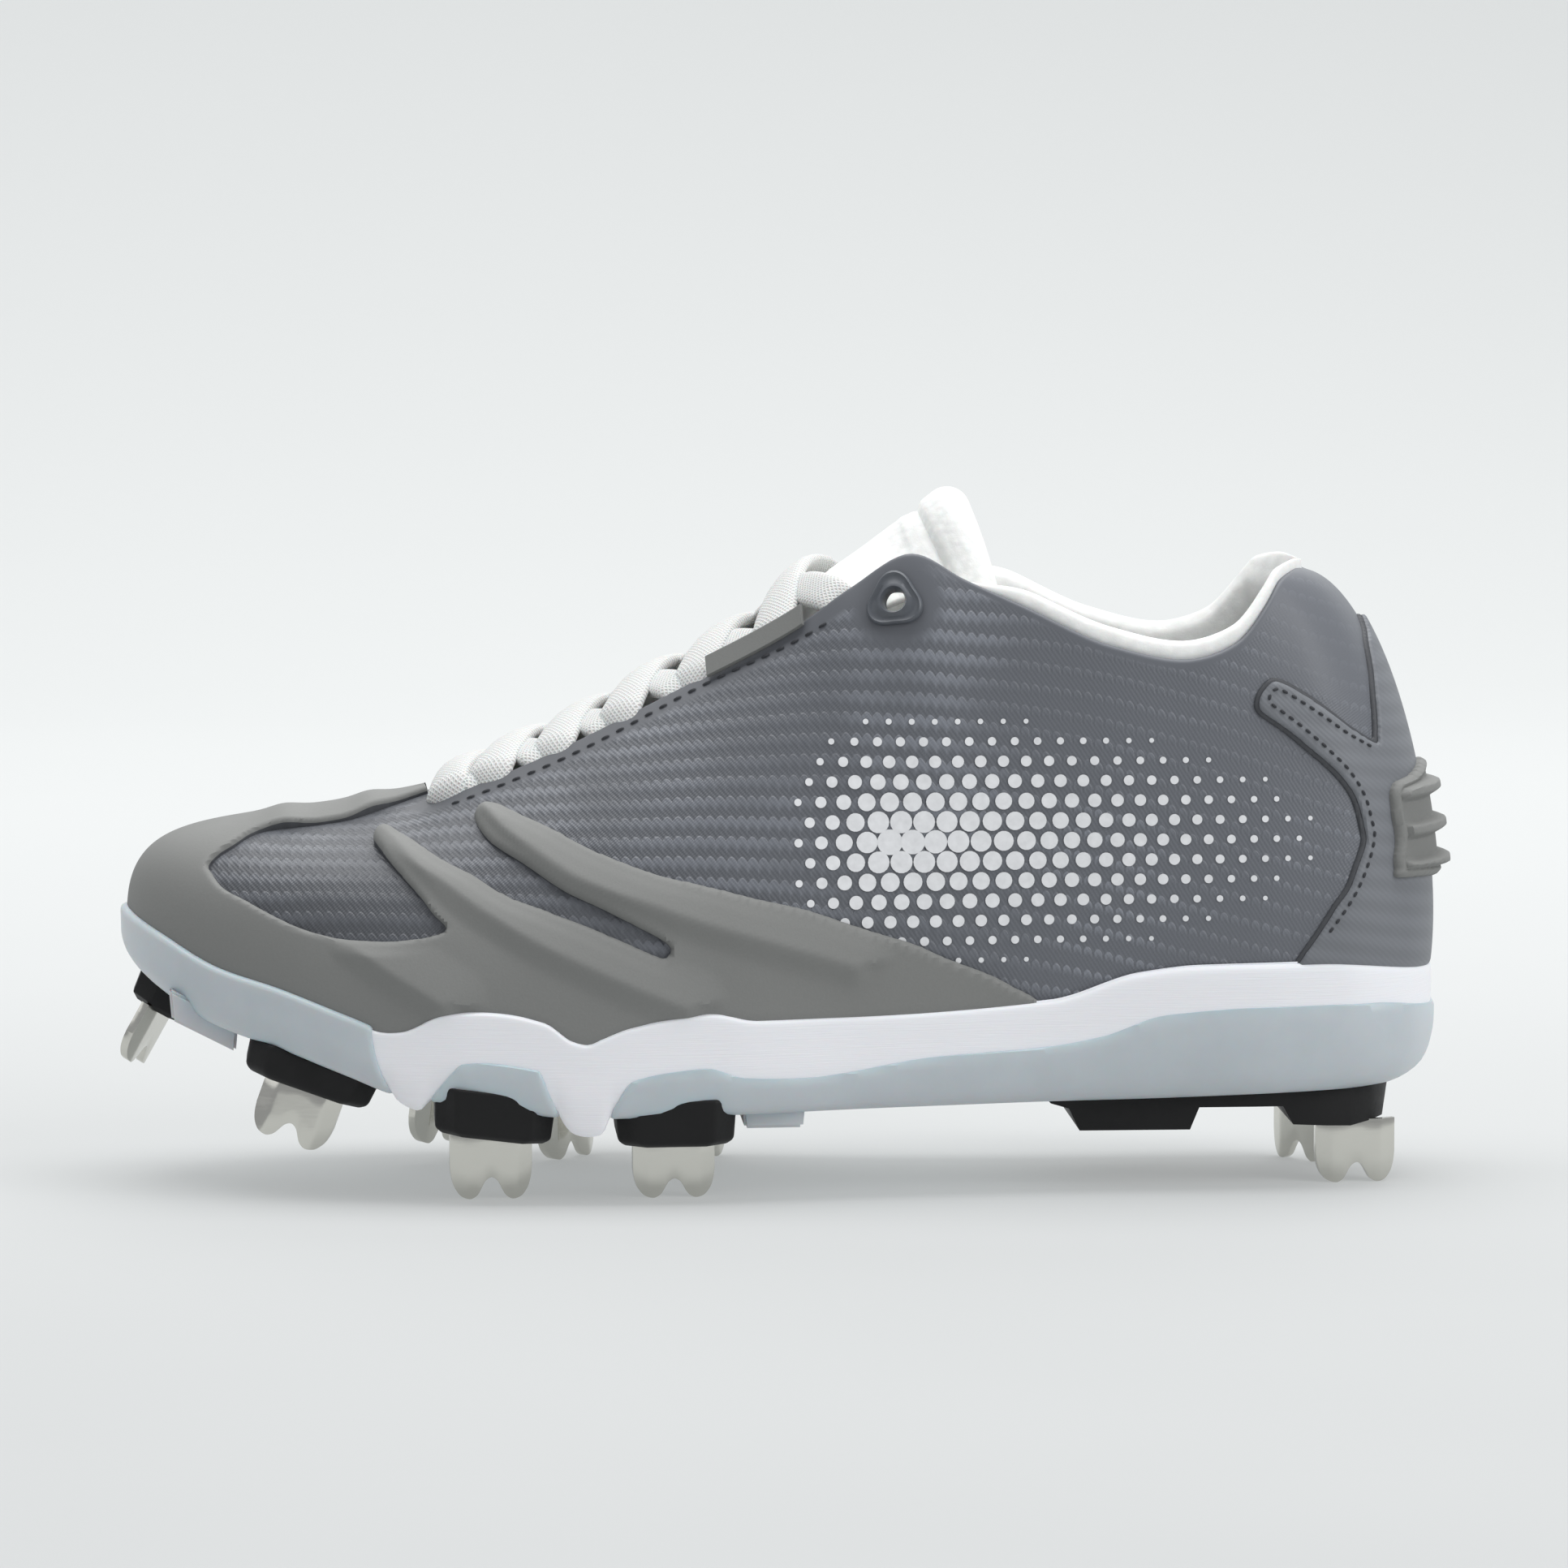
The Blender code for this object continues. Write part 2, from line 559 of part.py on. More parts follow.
def material_of(name):
    """Return the material of a name, made once."""
    found = bpy.data.materials.get(name)
    if found is not None:
        return found
    colour, roughness, metallic = MATERIALS[name]
    made = bpy.data.materials.new(name)
    made.use_nodes = True
    shader = made.node_tree.nodes["Principled BSDF"]
    shader.inputs["Base Color"].default_value = (*colour, 1.0)
    shader.inputs["Roughness"].default_value = roughness
    shader.inputs["Metallic"].default_value = metallic
    made.diffuse_color = (*colour, 1.0)
    return made


def closed_rings(rings):
    """Close a stack of equal rings with a ladder across the first and across the last."""
    bm = bmesh.new()
    loops = [[bm.verts.new(point) for point in ring] for ring in rings]
    count = len(loops[0])
    for below, above in zip(loops, loops[1:]):
        for index in range(count):
            after = (index + 1) % count
            bm.faces.new((below[index], below[after], above[after], above[index]))
    for loop in (loops[0], loops[-1]):
        half = count // 2
        bm.faces.new((loop[0], loop[1], loop[count - 1]))
        for index in range(1, half - 1):
            bm.faces.new((loop[index], loop[index + 1], loop[count - index - 1],
                          loop[count - index]))
        bm.faces.new((loop[half - 1], loop[half], loop[half + 1]))
    bmesh.ops.triangulate(bm, faces=bm.faces, quad_method="FIXED")
    return bm


def grid_solid(outer, inner, wrap=False):
    """Close two equal grids of points into a shell with side walls all round."""
    bm = bmesh.new()
    skins = [[[bm.verts.new(point) for point in line] for line in grid]
             for grid in (outer, inner)]
    lines, width = len(outer), len(outer[0])
    spans = lines if wrap else lines - 1
    for grid in skins:
        for line in range(spans):
            after = (line + 1) % lines
            for place in range(width - 1):
                bm.faces.new((grid[line][place], grid[line][place + 1],
                              grid[after][place + 1], grid[after][place]))
    top, bottom = skins
    for place in (0, width - 1):
        for line in range(spans):
            after = (line + 1) % lines
            bm.faces.new((top[line][place], top[after][place], bottom[after][place],
                          bottom[line][place]))
    if not wrap:
        for line in (0, lines - 1):
            for place in range(width - 1):
                bm.faces.new((top[line][place], top[line][place + 1],
                              bottom[line][place + 1], bottom[line][place]))
    bmesh.ops.triangulate(bm, faces=bm.faces, quad_method="FIXED")
    return bm


def prism(points, low, high, axis="Y"):
    """Extrude an outline along Y, or along Z, from low to high."""
    bm = bmesh.new()
    ends = []
    for level in (low, high):
        if axis == "Y":
            ends.append([bm.verts.new((a, level, b)) for a, b in points])
        else:
            ends.append([bm.verts.new((a, b, level)) for a, b in points])
    count = len(points)
    for index in range(count):
        after = (index + 1) % count
        bm.faces.new((ends[0][index], ends[0][after], ends[1][after], ends[1][index]))
    bm.faces.new(ends[0])
    bm.faces.new(ends[1])
    return bm


def guide(name, bm):
    """A hidden solid that others are cut by."""
    item = new_object(name, bm, "black_plastic")
    item.hide_render = True
    item.display_type = "WIRE"
    return item


def cut(item, tool, operation):
    """Add a Boolean with another object."""
    modifier = item.modifiers.new(operation.title(), "BOOLEAN")
    modifier.operation = operation
    modifier.solver = "EXACT"
    modifier.object = tool
    return modifier


def sole_blank(low_band):
    """Rings of the whole sole block, from foot bed over the rim down to the bottom."""
    ring = ring_places(RING_COUNT)
    base, _ = PLAN.point(ring)
    along = along_of(base[:, 0])
    rim = rim_height(ring, along)
    round_in = EDGE_ROUND * ROUNDING(along)
    zero = np.zeros_like(along)
    rise = rise_at_height(ring, rim)
    inner_top = upper_surface(ring, rise, PART_GAP)
    inner_low = upper_surface(ring, zero, PART_GAP)
    bed = footbed_height(along_of(inner_low[:, 0]))
    rings = []
    rings.append([(x, y, z) for (x, y), z in zip(inner_low[:, :2], bed)])
    rings.append([(x, y, z) for (x, y), z in zip(inner_top[:, :2], rim)])
    for inset, share in ((0.12, 0.0), (0.0, 0.07), (0.06, 0.62), (0.36, 0.87), (1.0, 1.0)):
        out, _ = PLAN.point(ring, round_in * inset)
        edge = bottom_height(along_of(out[:, 0]))
        if low_band:
            edge = np.minimum(edge, joint_height(ring, along) - PART_GAP)
        level = rim + (edge - rim) * share
        rings.append([(x, y, z) for (x, y), z in zip(out, level)])
    inner, _ = PLAN.point(ring, zero + PRONG_DEPTH + PRONG_SLOPE)
    bottom = bottom_height(along_of(inner[:, 0]))
    rings.append([(x, y, z) for (x, y), z in zip(inner, bottom)])
    return closed_rings(rings)


def joint_block(name, gap):
    """Everything under the joint between outsole and midsole, grown by a gap."""
    ring = ring_places(JOINT_COUNT)
    base, _ = PLAN.point(ring)
    along = along_of(base[:, 0])
    line = joint_height(ring, along)
    middle = 0.5 * (bottom_height(along) + footbed_height(along))
    front = blend(*TOE_JOINT_END, along)
    core = middle * front + (bottom_height(along) + RIM_HEIGHT * TOE_JOINT) * (1 - front)
    rings = []
    for inset, level in ((-0.5 * EDGE_ROUND, CUT_FLOOR + 0 * line),
                         (-0.5 * EDGE_ROUND, line + gap), (PRONG_DEPTH, line + gap),
                         (PRONG_DEPTH + PRONG_SLOPE, core + gap)):
        out, _ = PLAN.point(ring, inset + 0 * line)
        rings.append([(x, y, z) for (x, y), z in zip(out, level)])
    return guide(name, closed_rings(rings))


def make_sole():
    """Outsole and midsole: one sole block, parted along the joint."""
    outsole = new_object("outsole", sole_blank(False), "outsole_rubber")
    cut(outsole, joint_block("joint_low", 0.0), "INTERSECT")
    for number, row in enumerate(LUGS):
        cut(outsole, sole_lug(f"lug_{number}", row), "UNION")
    midsole = new_object("midsole", sole_blank(True), "midsole_foam")
    cut(midsole, joint_block("joint_high", PART_GAP), "DIFFERENCE")
    return outsole, midsole


def sole_lug(name, row):
    """A tapered block that hangs from the outsole's bottom."""
    levels = [float(bottom_height(np.array(place))) for place in (row.low, row.high)]
    bm = bmesh.new()
    loops = []
    middle = row.across * BALL_WIDTH
    for taper, sink in ((0.0, -LUG_ROOT), (LUG_TAPER, LUG_DEPTH * row.depth)):
        start = (row.low - 0.5) * SHOE_LENGTH + taper
        end = (row.high - 0.5) * SHOE_LENGTH - taper
        half = 0.5 * row.wide * BALL_WIDTH - taper
        corners = ((start, -half, levels[0]), (end, -half, levels[1]), (end, half, levels[1]),
                   (start, half, levels[0]))
        loops.append([bm.verts.new((x, middle + y, level - sink)) for x, y, level in corners])
    for index in range(4):
        after = (index + 1) % 4
        bm.faces.new((loops[0][index], loops[0][after], loops[1][after], loops[1][index]))
    bm.faces.new(loops[0])
    bm.faces.new(loops[1])
    return guide(name, bm)


def upper_grid(rings, rises, offset):
    """Grid of points on the upper's function at an offset."""
    points = upper_surface(np.asarray(rings)[:, None], np.asarray(rises)[None, :],
                           np.full((len(rings), len(rises)), float(offset)))
    return [[tuple(point) for point in line] for line in points]


def upper_rises():
    """Rises of the upper's rows, closer near the foot."""
    return np.linspace(0, 1, UPPER_ROWS + 1) ** ROW_CROWDING


def make_upper():
    """The upper: one hollow shell, open at throat, collar and underneath."""
    rings = ring_places(UPPER_COLUMNS)
    rises = upper_rises()
    outer = upper_grid(rings, rises, 0.0)
    inner = upper_grid(rings, rises, -UPPER_WALL)
    upper = new_object("upper", grid_solid(outer, inner, wrap=True), "woven_upper")
    for side in (-1, 1):
        cut(upper, eyelet_drill(side), "DIFFERENCE")
    return upper


def eyelet_frame(side):
    """Place of a top eyelet: its matrix on the upper's surface, Z pointing out."""
    ring = 0.5 * EYELET_AROUND if side < 0 else 1 - 0.5 * EYELET_AROUND
    here = Vector(upper_surface(ring, EYELET_RISE))
    out = Vector(upper_surface(ring, EYELET_RISE, 0.001)) - here
    out.normalize()
    ahead = Vector(rib_points(np.array(ring + 0.01 * side), np.array(EYELET_RISE)))
    forward = ahead - here
    forward -= out * forward.dot(out)
    forward.normalize()
    upward = out.cross(forward)
    return Matrix((
        (forward.x, upward.x, out.x, here.x),
        (forward.y, upward.y, out.y, here.y),
        (forward.z, upward.z, out.z, here.z),
        (0, 0, 0, 1),
    ))


def eyelet_drill(side):
    """The hole that the eyelet sits over."""
    bm = bmesh.new()
    bmesh.ops.create_cone(bm, cap_ends=True, segments=12, radius1=EYELET_HOLE,
                          radius2=EYELET_HOLE, depth=EYELET_DRILL)
    bmesh.ops.transform(bm, matrix=eyelet_frame(side), verts=bm.verts)
    return guide("drill_lateral" if side < 0 else "drill_medial", bm)


def make_eyelet(side):
    """A rounded triangular eyelet on the upper's face with a round hole."""
    frame = eyelet_frame(side)
    bm = bmesh.new()
    loops = []
    for lift, grow in ((EYELET_SEAT, 1.0), (EYELET_HEIGHT, EYELET_TAPER)):
        outer, inner = [], []
        for step in range(EYELET_SIDES):
            angle = 2 * math.pi * step / EYELET_SIDES
            bulge = 1 + EYELET_BULGE * math.cos(3 * angle)
            reach = (EYELET_HOLE + EYELET_RIM * grow) * bulge
            outer.append(bm.verts.new(frame @ Vector((reach * math.cos(angle),
                                                      reach * math.sin(angle), lift))))
            inner.append(bm.verts.new(frame @ Vector((EYELET_HOLE * math.cos(angle),
                                                      EYELET_HOLE * math.sin(angle), lift))))
        loops.append((outer, inner))
    (low_out, low_in), (top_out, top_in) = loops
    for step in range(EYELET_SIDES):
        after = (step + 1) % EYELET_SIDES
        bm.faces.new((low_out[step], low_out[after], top_out[after], top_out[step]))
        bm.faces.new((top_out[step], top_out[after], top_in[after], top_in[step]))
        bm.faces.new((top_in[step], top_in[after], low_in[after], low_in[step]))
        bm.faces.new((low_in[step], low_in[after], low_out[after], low_out[step]))
    return new_object("eyelet_lateral" if side < 0 else "eyelet_medial", bm, "overlay_rubber")


def side_points(rows):
    """Corner points of a side outline in metres."""
    return [((row.along - 0.5) * SHOE_LENGTH, row.height * INSTEP_HEIGHT) for row in rows]


def overlay_shell(name, columns, thickness, material, rises):
    """The upper's own function, thickened outward, over some of its columns."""
    rings = ring_places(UPPER_COLUMNS)[np.mod(columns, UPPER_COLUMNS)]
    inner = upper_grid(rings, rises, PART_GAP)
    outer = upper_grid(rings, rises, PART_GAP + thickness)
    return new_object(name, grid_solid(outer, inner), material)


def make_toe_overlay():
    """Toe cap with its spine and the two fingers on each side."""
    reach = int(0.40 * UPPER_COLUMNS)
    columns = np.arange(-reach, reach + 1)
    overlay = overlay_shell("toe_overlay", columns, OVERLAY_WALL, "overlay_rubber",
                            overlay_rises())
    shape = guide("overlay_side", prism(side_points(TOE_OVERLAY), -CUT_HALF, CUT_HALF))
    spine = [((row.along - 0.5) * SHOE_LENGTH, BALL_WIDTH * (TOE_CENTRE + side * row.half))
             for side, rows in ((-1, SPINE), (1, SPINE[::-1])) for row in rows]
    cut(shape, guide("overlay_spine", prism(spine, BLADE_REACH, CUT_CEILING, axis="Z")), "UNION")
    cut(overlay, shape, "INTERSECT")
    cut(overlay, rim_clearance("rim_clear_toe"), "DIFFERENCE")
    return overlay


def overlay_rises():
    """Rises of an overlay's rows: the upper's own, without the first."""
    return upper_rises()[1:]


def rim_clearance(name):
    """The sole's rim grown by the gap, which overlays stop at."""
    ring = ring_places(RING_COUNT)
    base, _ = PLAN.point(ring)
    along = along_of(base[:, 0])
    top = rim_height(ring, along) + PART_GAP
    rings = []
    for inset, level in ((-EDGE_ROUND, CUT_FLOOR + 0 * top), (-EDGE_ROUND, top),
                         (EDGE_ROUND - 0.001, top), (EDGE_ROUND, CUT_FLOOR + 0 * top)):
        out, _ = PLAN.point(ring, inset + 0 * top)
        rings.append([(x, y, z) for (x, y), z in zip(out, level)])
    bm = bmesh.new()
    loops = [[bm.verts.new(point) for point in ring] for ring in rings]
    count = len(loops[0])
    for number in range(4):
        below, above = loops[number], loops[(number + 1) % 4]
        for index in range(count):
            after = (index + 1) % count
            bm.faces.new((below[index], below[after], above[after], above[index]))
    return guide(name, bm)


def make_counter():
    """Heel counter and backstay, wrapped round the heel."""
    half = UPPER_COLUMNS // 2
    reach = int(0.16 * UPPER_COLUMNS)
    counter = overlay_shell("heel_counter", np.arange(half - reach, half + reach + 1),
                            COUNTER_WALL, "counter_film", overlay_rises())
    cut(counter, guide("counter_side", prism(side_points(COUNTER), -CUT_HALF, CUT_HALF)), "INTERSECT")
    cut(counter, rim_clearance("rim_clear_heel"), "DIFFERENCE")
    return counter


def make_grip():
    """Ribbed grip on the back of the heel, over the counter."""
    half = UPPER_COLUMNS // 2
    reach = GRIP_COLUMNS
    columns = np.arange(half - reach, half + reach + 1)
    rings = ring_places(UPPER_COLUMNS)[columns]
    rises = np.linspace(*GRIP_SPAN, 13)
    inner_offset = PART_GAP + COUNTER_WALL + PART_GAP
    inner = upper_grid(rings, rises, inner_offset)
    height = upper_surface(np.asarray(rings)[:, None], rises[None, :])[..., 2] / INSTEP_HEIGHT
    lift = np.full(height.shape, inner_offset + GRIP_BASE)
    fade = 1 - (np.abs(np.arange(-reach, reach + 1)) / reach) ** 3
    for rib in GRIP_RIBS:
        lift += GRIP_RIB * fade[:, None] * np.exp(-((height - rib) / GRIP_RIB_WIDTH) ** 2)
    points = upper_surface(np.asarray(rings)[:, None], rises[None, :], lift)
    outer = [[tuple(point) for point in line] for line in points]
    grip = new_object("heel_grip", grid_solid(outer, inner), "overlay_rubber")
    cut(grip, guide("grip_side", prism(side_points(GRIP), -CUT_HALF, CUT_HALF)), "INTERSECT")
    return grip


def make_insole():
    """Foot bed inside the upper."""
    ring = ring_places(RING_COUNT)
    inset = RIM_LEAN_START + UPPER_WALL + 2 * PART_GAP
    rings = []
    for level in (PART_GAP, PART_GAP + INSOLE_THICKNESS):
        out, _ = PLAN.point(ring, np.full(ring.shape, inset + 0.25 * level))
        bed = footbed_height(along_of(out[:, 0]))
        rings.append([(x, y, z) for (x, y), z in zip(out, bed + level)])
    return new_object("insole", closed_rings(rings), "white_textile")


def tongue_point(around, part):
    """Outer face of the tongue: section at a place round the top edge, part across it."""
    ends = []
    tuck = UPPER_WALL + PART_GAP + TONGUE_PLAY
    tuck += (COLLAR_PAD + 4 * PART_GAP) * float(blend(*COLLAR_CLEARING, around))
    for ring in (0.5 * around, 1 - 0.5 * around):
        ends.append(upper_surface(ring, TONGUE_CURVES["depth"](around), -tuck))
    handles = []
    for end, sign in zip(ends, (1, -1)):
        handles.append(end + INSTEP_HEIGHT * np.array(
            [-TONGUE_CURVES["forward"](around), sign * TONGUE_CURVES["inward"](around),
             TONGUE_CURVES["up"](around)]))
    rest = 1 - part
    return (ends[0] * rest ** 3 + handles[0] * 3 * rest ** 2 * part
            + handles[1] * 3 * rest * part ** 2 + ends[1] * part ** 3)


def tongue_grid(offset_share):
    """Grid of the tongue's outer or inner face."""
    parts = np.linspace(0, 1, TONGUE_COLUMNS + 1)
    arounds = np.linspace(TONGUE[0].around, TONGUE[-1].around, TONGUE_ROWS + 1)
    grid = np.array([[tongue_point(around, part) for part in parts] for around in arounds])
    down = np.gradient(grid, axis=0)
    across = np.gradient(grid, axis=1)
    normal = np.cross(across, down)
    normal /= np.linalg.norm(normal, axis=-1, keepdims=True)
    normal *= np.where(normal[..., 2:3] > 0, -1, 1)
    pad = TONGUE_CURVES["pad"](arounds) * TONGUE_THICKNESS
    edge = 1 - TONGUE_EDGE_LOSS * np.abs(2 * parts - 1) ** 4
    return grid + normal * (offset_share * pad[:, None] * edge[None, :])[..., None]


def make_tongue():
    """The padded tongue under the laces, with its top standing over the collar."""
    outer = [[tuple(point) for point in line] for line in tongue_grid(0.0)]
    inner = [[tuple(point) for point in line] for line in tongue_grid(1.0)]
    return new_object("tongue", grid_solid(outer, inner), "white_textile")


def throat_part(around):
    """Part across the tongue where it comes out from under the upper's edge."""
    edge = upper_surface(0.5 * around, 1.0)
    parts = 0.5 * np.linspace(0, 1, 51)
    clear = [part for part in parts
             if tongue_point(around, part)[1] > edge[1] + LACE_EDGE_GAP]
    return float(clear[0]) if clear else float(parts[-1])


def lace_bar(start, end, over, raised):
    """One lace across the tongue, from one edge to the other, as a flat bar."""
    first, last = throat_part(start), 1 - throat_part(end)
    if not over:
        first, last = 1 - throat_part(start), throat_part(end)
    places = np.linspace(0, 1, LACE_STEPS + 1)
    spine, normals = [], []
    for place in places:
        around = start + (end - start) * place
        part = first + (last - first) * place
        here = tongue_point(around, part)
        side = tongue_point(around, part + 0.02) - tongue_point(around, part - 0.02)
        ahead = tongue_point(around + 0.004, part) - tongue_point(around - 0.004, part)
        normal = np.cross(ahead, side)
        normal /= np.linalg.norm(normal)
        if normal[2] < 0:
            normal = -normal
        lift = LACE_LIFT + (0.5 + raised) * LACE_THICKNESS
        if over:
            lift += 0.5 * LACE_THICKNESS * math.sin(math.pi * place) ** 2
        spine.append(here + normal * lift)
        normals.append(normal)
    spine = np.array(spine)
    normals = np.array(normals)
    tangents = np.gradient(spine, axis=0)
    tangents /= np.linalg.norm(tangents, axis=1, keepdims=True)
    widths = np.cross(tangents, normals)
    widths /= np.linalg.norm(widths, axis=1, keepdims=True)
    bm = bmesh.new()
    loops = []
    for point, wide, tall in zip(spine, widths, normals):
        loop = []
        for a, b in ((-0.5, -0.5), (-0.42, 0.5), (0.42, 0.5), (0.5, -0.5)):
            place = point + wide * (a * LACE_WIDTH) + tall * (b * LACE_THICKNESS)
            loop.append(bm.verts.new(tuple(place)))
        loops.append(loop)
    for below, above in zip(loops, loops[1:]):
        for index in range(4):
            after = (index + 1) % 4
            bm.faces.new((below[index], below[after], above[after], above[index]))
    bm.faces.new(loops[0])
    bm.faces.new(loops[-1])
    return bm


def make_laces():
    """The crossings of the lace over the tongue, joined where they meet."""
    stops = np.linspace(LACE_ENDS[0], LACE_ENDS[1], LACE_CROSSINGS + 1)
    laces = None
    for number, (start, end) in enumerate(zip(stops, stops[1:])):
        for over in (True, False):
            raised = over * LACE_RAISE[0] + (number % 2) * LACE_RAISE[1]
            bar = lace_bar(start, end, over, raised)
            if laces is None:
                laces = new_object("laces", bar, "white_textile")
            else:
                cut(laces, guide(f"lace_{number}_{int(over)}", bar), "UNION")
    return laces


def collar_section():
    """Section of the collar roll: rise on the rib, depth inside the wall, lift over the edge."""
    wall = [(rise, 0.0, 0.0) for rise in upper_rises() if rise > COLLAR_FOOT]
    roll = [(1.0, 0.0, 0.7), (1.0, 0.25, 1.0), (1.0, 0.70, 0.80), (0.97, 1.00, 0.25)]
    inside = [(0.86, 0.95, 0.0), (0.74, 0.60, 0.0), (wall[0][0], 0.28, 0.0)]
    return wall + roll + inside


def make_collar():
    """Padded lining roll round the collar, inside the wall and just over its edge."""
    rings = [ring for ring in ring_places(UPPER_COLUMNS) if around_of(ring) > COLLAR_START]
    section = collar_section()
    loops = []
    for ring in rings:
        loop = []
        for rise, depth, lift in section:
            inside = UPPER_WALL + PART_GAP + depth * COLLAR_PAD
            point = upper_surface(ring, rise, -inside)
            loop.append(tuple(point + np.array([0, 0, COLLAR_STAND * lift])))
        loops.append(loop)
    bm = bmesh.new()
    rows = [[bm.verts.new(point) for point in loop] for loop in loops]
    size = len(section)
    for row, after_row in zip(rows, rows[1:]):
        for index in range(size):
            after = (index + 1) % size
            bm.faces.new((row[index], row[after], after_row[after], after_row[index]))
    for row in (rows[0], rows[-1]):
        bm.faces.new(row)
    bmesh.ops.triangulate(bm, faces=bm.faces, quad_method="FIXED")
    return new_object("collar_lining", bm, "white_textile")


def pad_frame(row):
    """Frame of a stud pad under the outsole: origin, slope and top clearance."""
    x = (row.along - 0.5) * SHOE_LENGTH
    half = 0.5 * row.length * BALL_WIDTH
    ends = [float(bottom_height(along_of(np.array(x + sign * half)))) for sign in (-1, 1)]
    slope = math.atan2(ends[1] - ends[0], 2 * half)
    places = np.linspace(x - half, x + half, PAD_PROBES)
    chord = ends[0] + (ends[1] - ends[0]) * (places - x + half) / (2 * half)
    sink = float(np.max(chord - bottom_height(along_of(places)))) + PART_GAP
    middle = 0.5 * (ends[0] + ends[1]) - sink
    place = Matrix.Translation((x, row.across * BALL_WIDTH, middle))
    return place @ Matrix.Rotation(-slope, 4, "Y"), half


def sole_level():
    """Everything over the outsole's bottom line, which the pads stop at."""
    places = np.linspace(0, 1, 60)
    under = bottom_height(places) - PART_GAP
    points = [((place - 0.5) * SHOE_LENGTH, level) for place, level in zip(places, under)]
    points.insert(0, (points[0][0] - PAD_DEPTH, points[0][1]))
    points += [(points[-1][0], CUT_CEILING), (points[0][0], CUT_CEILING)]
    return guide("sole_level", prism(points, -CUT_HALF, CUT_HALF))


def make_pad(row, level):
    """A black stud pad: a chamfered block with rounded corners, up against the outsole."""
    frame, half = pad_frame(row)
    wide = 0.5 * row.width * BALL_WIDTH
    loops = []
    bm = bmesh.new()
    levels = [(0.0, -PAD_ROOT)] + [(step.shrink, step.depth * PAD_DEPTH) for step in PAD_EDGE]
    for shrink, depth in levels:
        loop = []
        for sx, sy, first in ((1, -1, True), (1, 1, False), (-1, 1, True), (-1, -1, False)):
            a, b = half - shrink, wide - shrink
            points = [(sx * a, sy * (b - PAD_CORNER)), (sx * (a - PAD_CORNER), sy * b)]
            if first:
                points.reverse()
            loop += [bm.verts.new(frame @ Vector((p, q, -depth))) for p, q in points]
        loops.append(loop)
    for below, above in zip(loops, loops[1:]):
        for index in range(8):
            after = (index + 1) % 8
            bm.faces.new((below[index], below[after], above[after], above[index]))
    bm.faces.new(loops[0])
    bm.faces.new(loops[-1])
    pad = new_object(f"pad_{row.name}", bm, "black_plastic")
    cut(pad, level, "DIFFERENCE")
    return pad


def blade_mesh(frame, top, reach):
    """A bent blade with two rounded lobes, in a frame whose -Z points down."""
    half = 0.5 * BLADE_WIDTH
    bend_from = BLADE_BEND_START * half
    bm = bmesh.new()
    sides = []
    for face in (-0.5, 0.5):
        tops, bottoms = [], []
        for row in BLADE_EDGE:
            across = row.across * half
            beyond = max(0.0, abs(across) - bend_from)
            offset = face * BLADE_THICKNESS + beyond * math.tan(BLADE_BEND)
            tops.append(bm.verts.new(frame @ Vector((across, offset, -top))))
            bottoms.append(bm.verts.new(frame @ Vector((across, offset, -top - row.depth
                                                        * (reach - top)))))
        sides.append((tops, bottoms))
    (top_a, low_a), (top_b, low_b) = sides
    last = len(BLADE_EDGE) - 1
    for index in range(last):
        bm.faces.new((top_a[index], top_a[index + 1], low_a[index + 1], low_a[index]))
        bm.faces.new((top_b[index], top_b[index + 1], low_b[index + 1], low_b[index]))
        bm.faces.new((top_a[index], top_a[index + 1], top_b[index + 1], top_b[index]))
        bm.faces.new((low_a[index], low_a[index + 1], low_b[index + 1], low_b[index]))
    for index in (0, last):
        bm.faces.new((top_a[index], low_a[index], low_b[index], top_b[index]))
    return bm


def make_blade(row):
    """The steel blade under a stud pad."""
    frame, _ = pad_frame(row)
    middle = frame @ Vector((0, 0, -PAD_DEPTH))
    lift = row.lift * BLADE_REACH
    if lift > 0:
        tilt = frame.to_3x3().to_4x4()
        reach = BLADE_REACH
        if row.lift < 0.5:
            reach = middle.z - lift
    else:
        tilt = Matrix.Identity(4)
        reach = middle.z
    place = Matrix.Translation(middle) @ tilt @ Matrix.Rotation(math.radians(row.turn), 4, "Z")
    slope = abs(frame.to_3x3()[2][0]) if lift == 0 else 0.0
    top = PART_GAP + slope * 0.5 * BLADE_WIDTH
    return new_object(f"blade_{row.name}", blade_mesh(place, top, reach), "blade_steel")


def make_heel_plate():
    """Black heel plate with a front pad and a rear pad."""
    lift = BLADE_REACH + PAD_DEPTH
    spans = np.linspace(*HEEL_PLATE_ENDS, 9)
    ceiling = [float(bottom_height(np.array(place))) - PART_GAP for place in spans]
    outline = [((place - 0.5) * SHOE_LENGTH, level) for place, level in zip(spans, ceiling)]
    deeper = HEEL_PAD_DEPTH - HEEL_PLATE_THICKNESS
    for row in HEEL_PLATE:
        level = lift - HEEL_PLATE_THICKNESS - deeper * row.depth - row.lower
        outline.append(((row.along - 0.5) * SHOE_LENGTH, level))
    item = new_object("heel_plate", prism(outline, -CUT_HALF, CUT_HALF), "black_plastic")
    ring = ring_places(RING_COUNT)
    inset, _ = PLAN.point(ring, 0 * ring + HEEL_PLATE_INSET)
    keep = [tuple(point) for point in inset]
    cut(item, guide("heel_plan", prism(keep, 0.0, CUT_CEILING, axis="Z")), "INTERSECT")
    return item


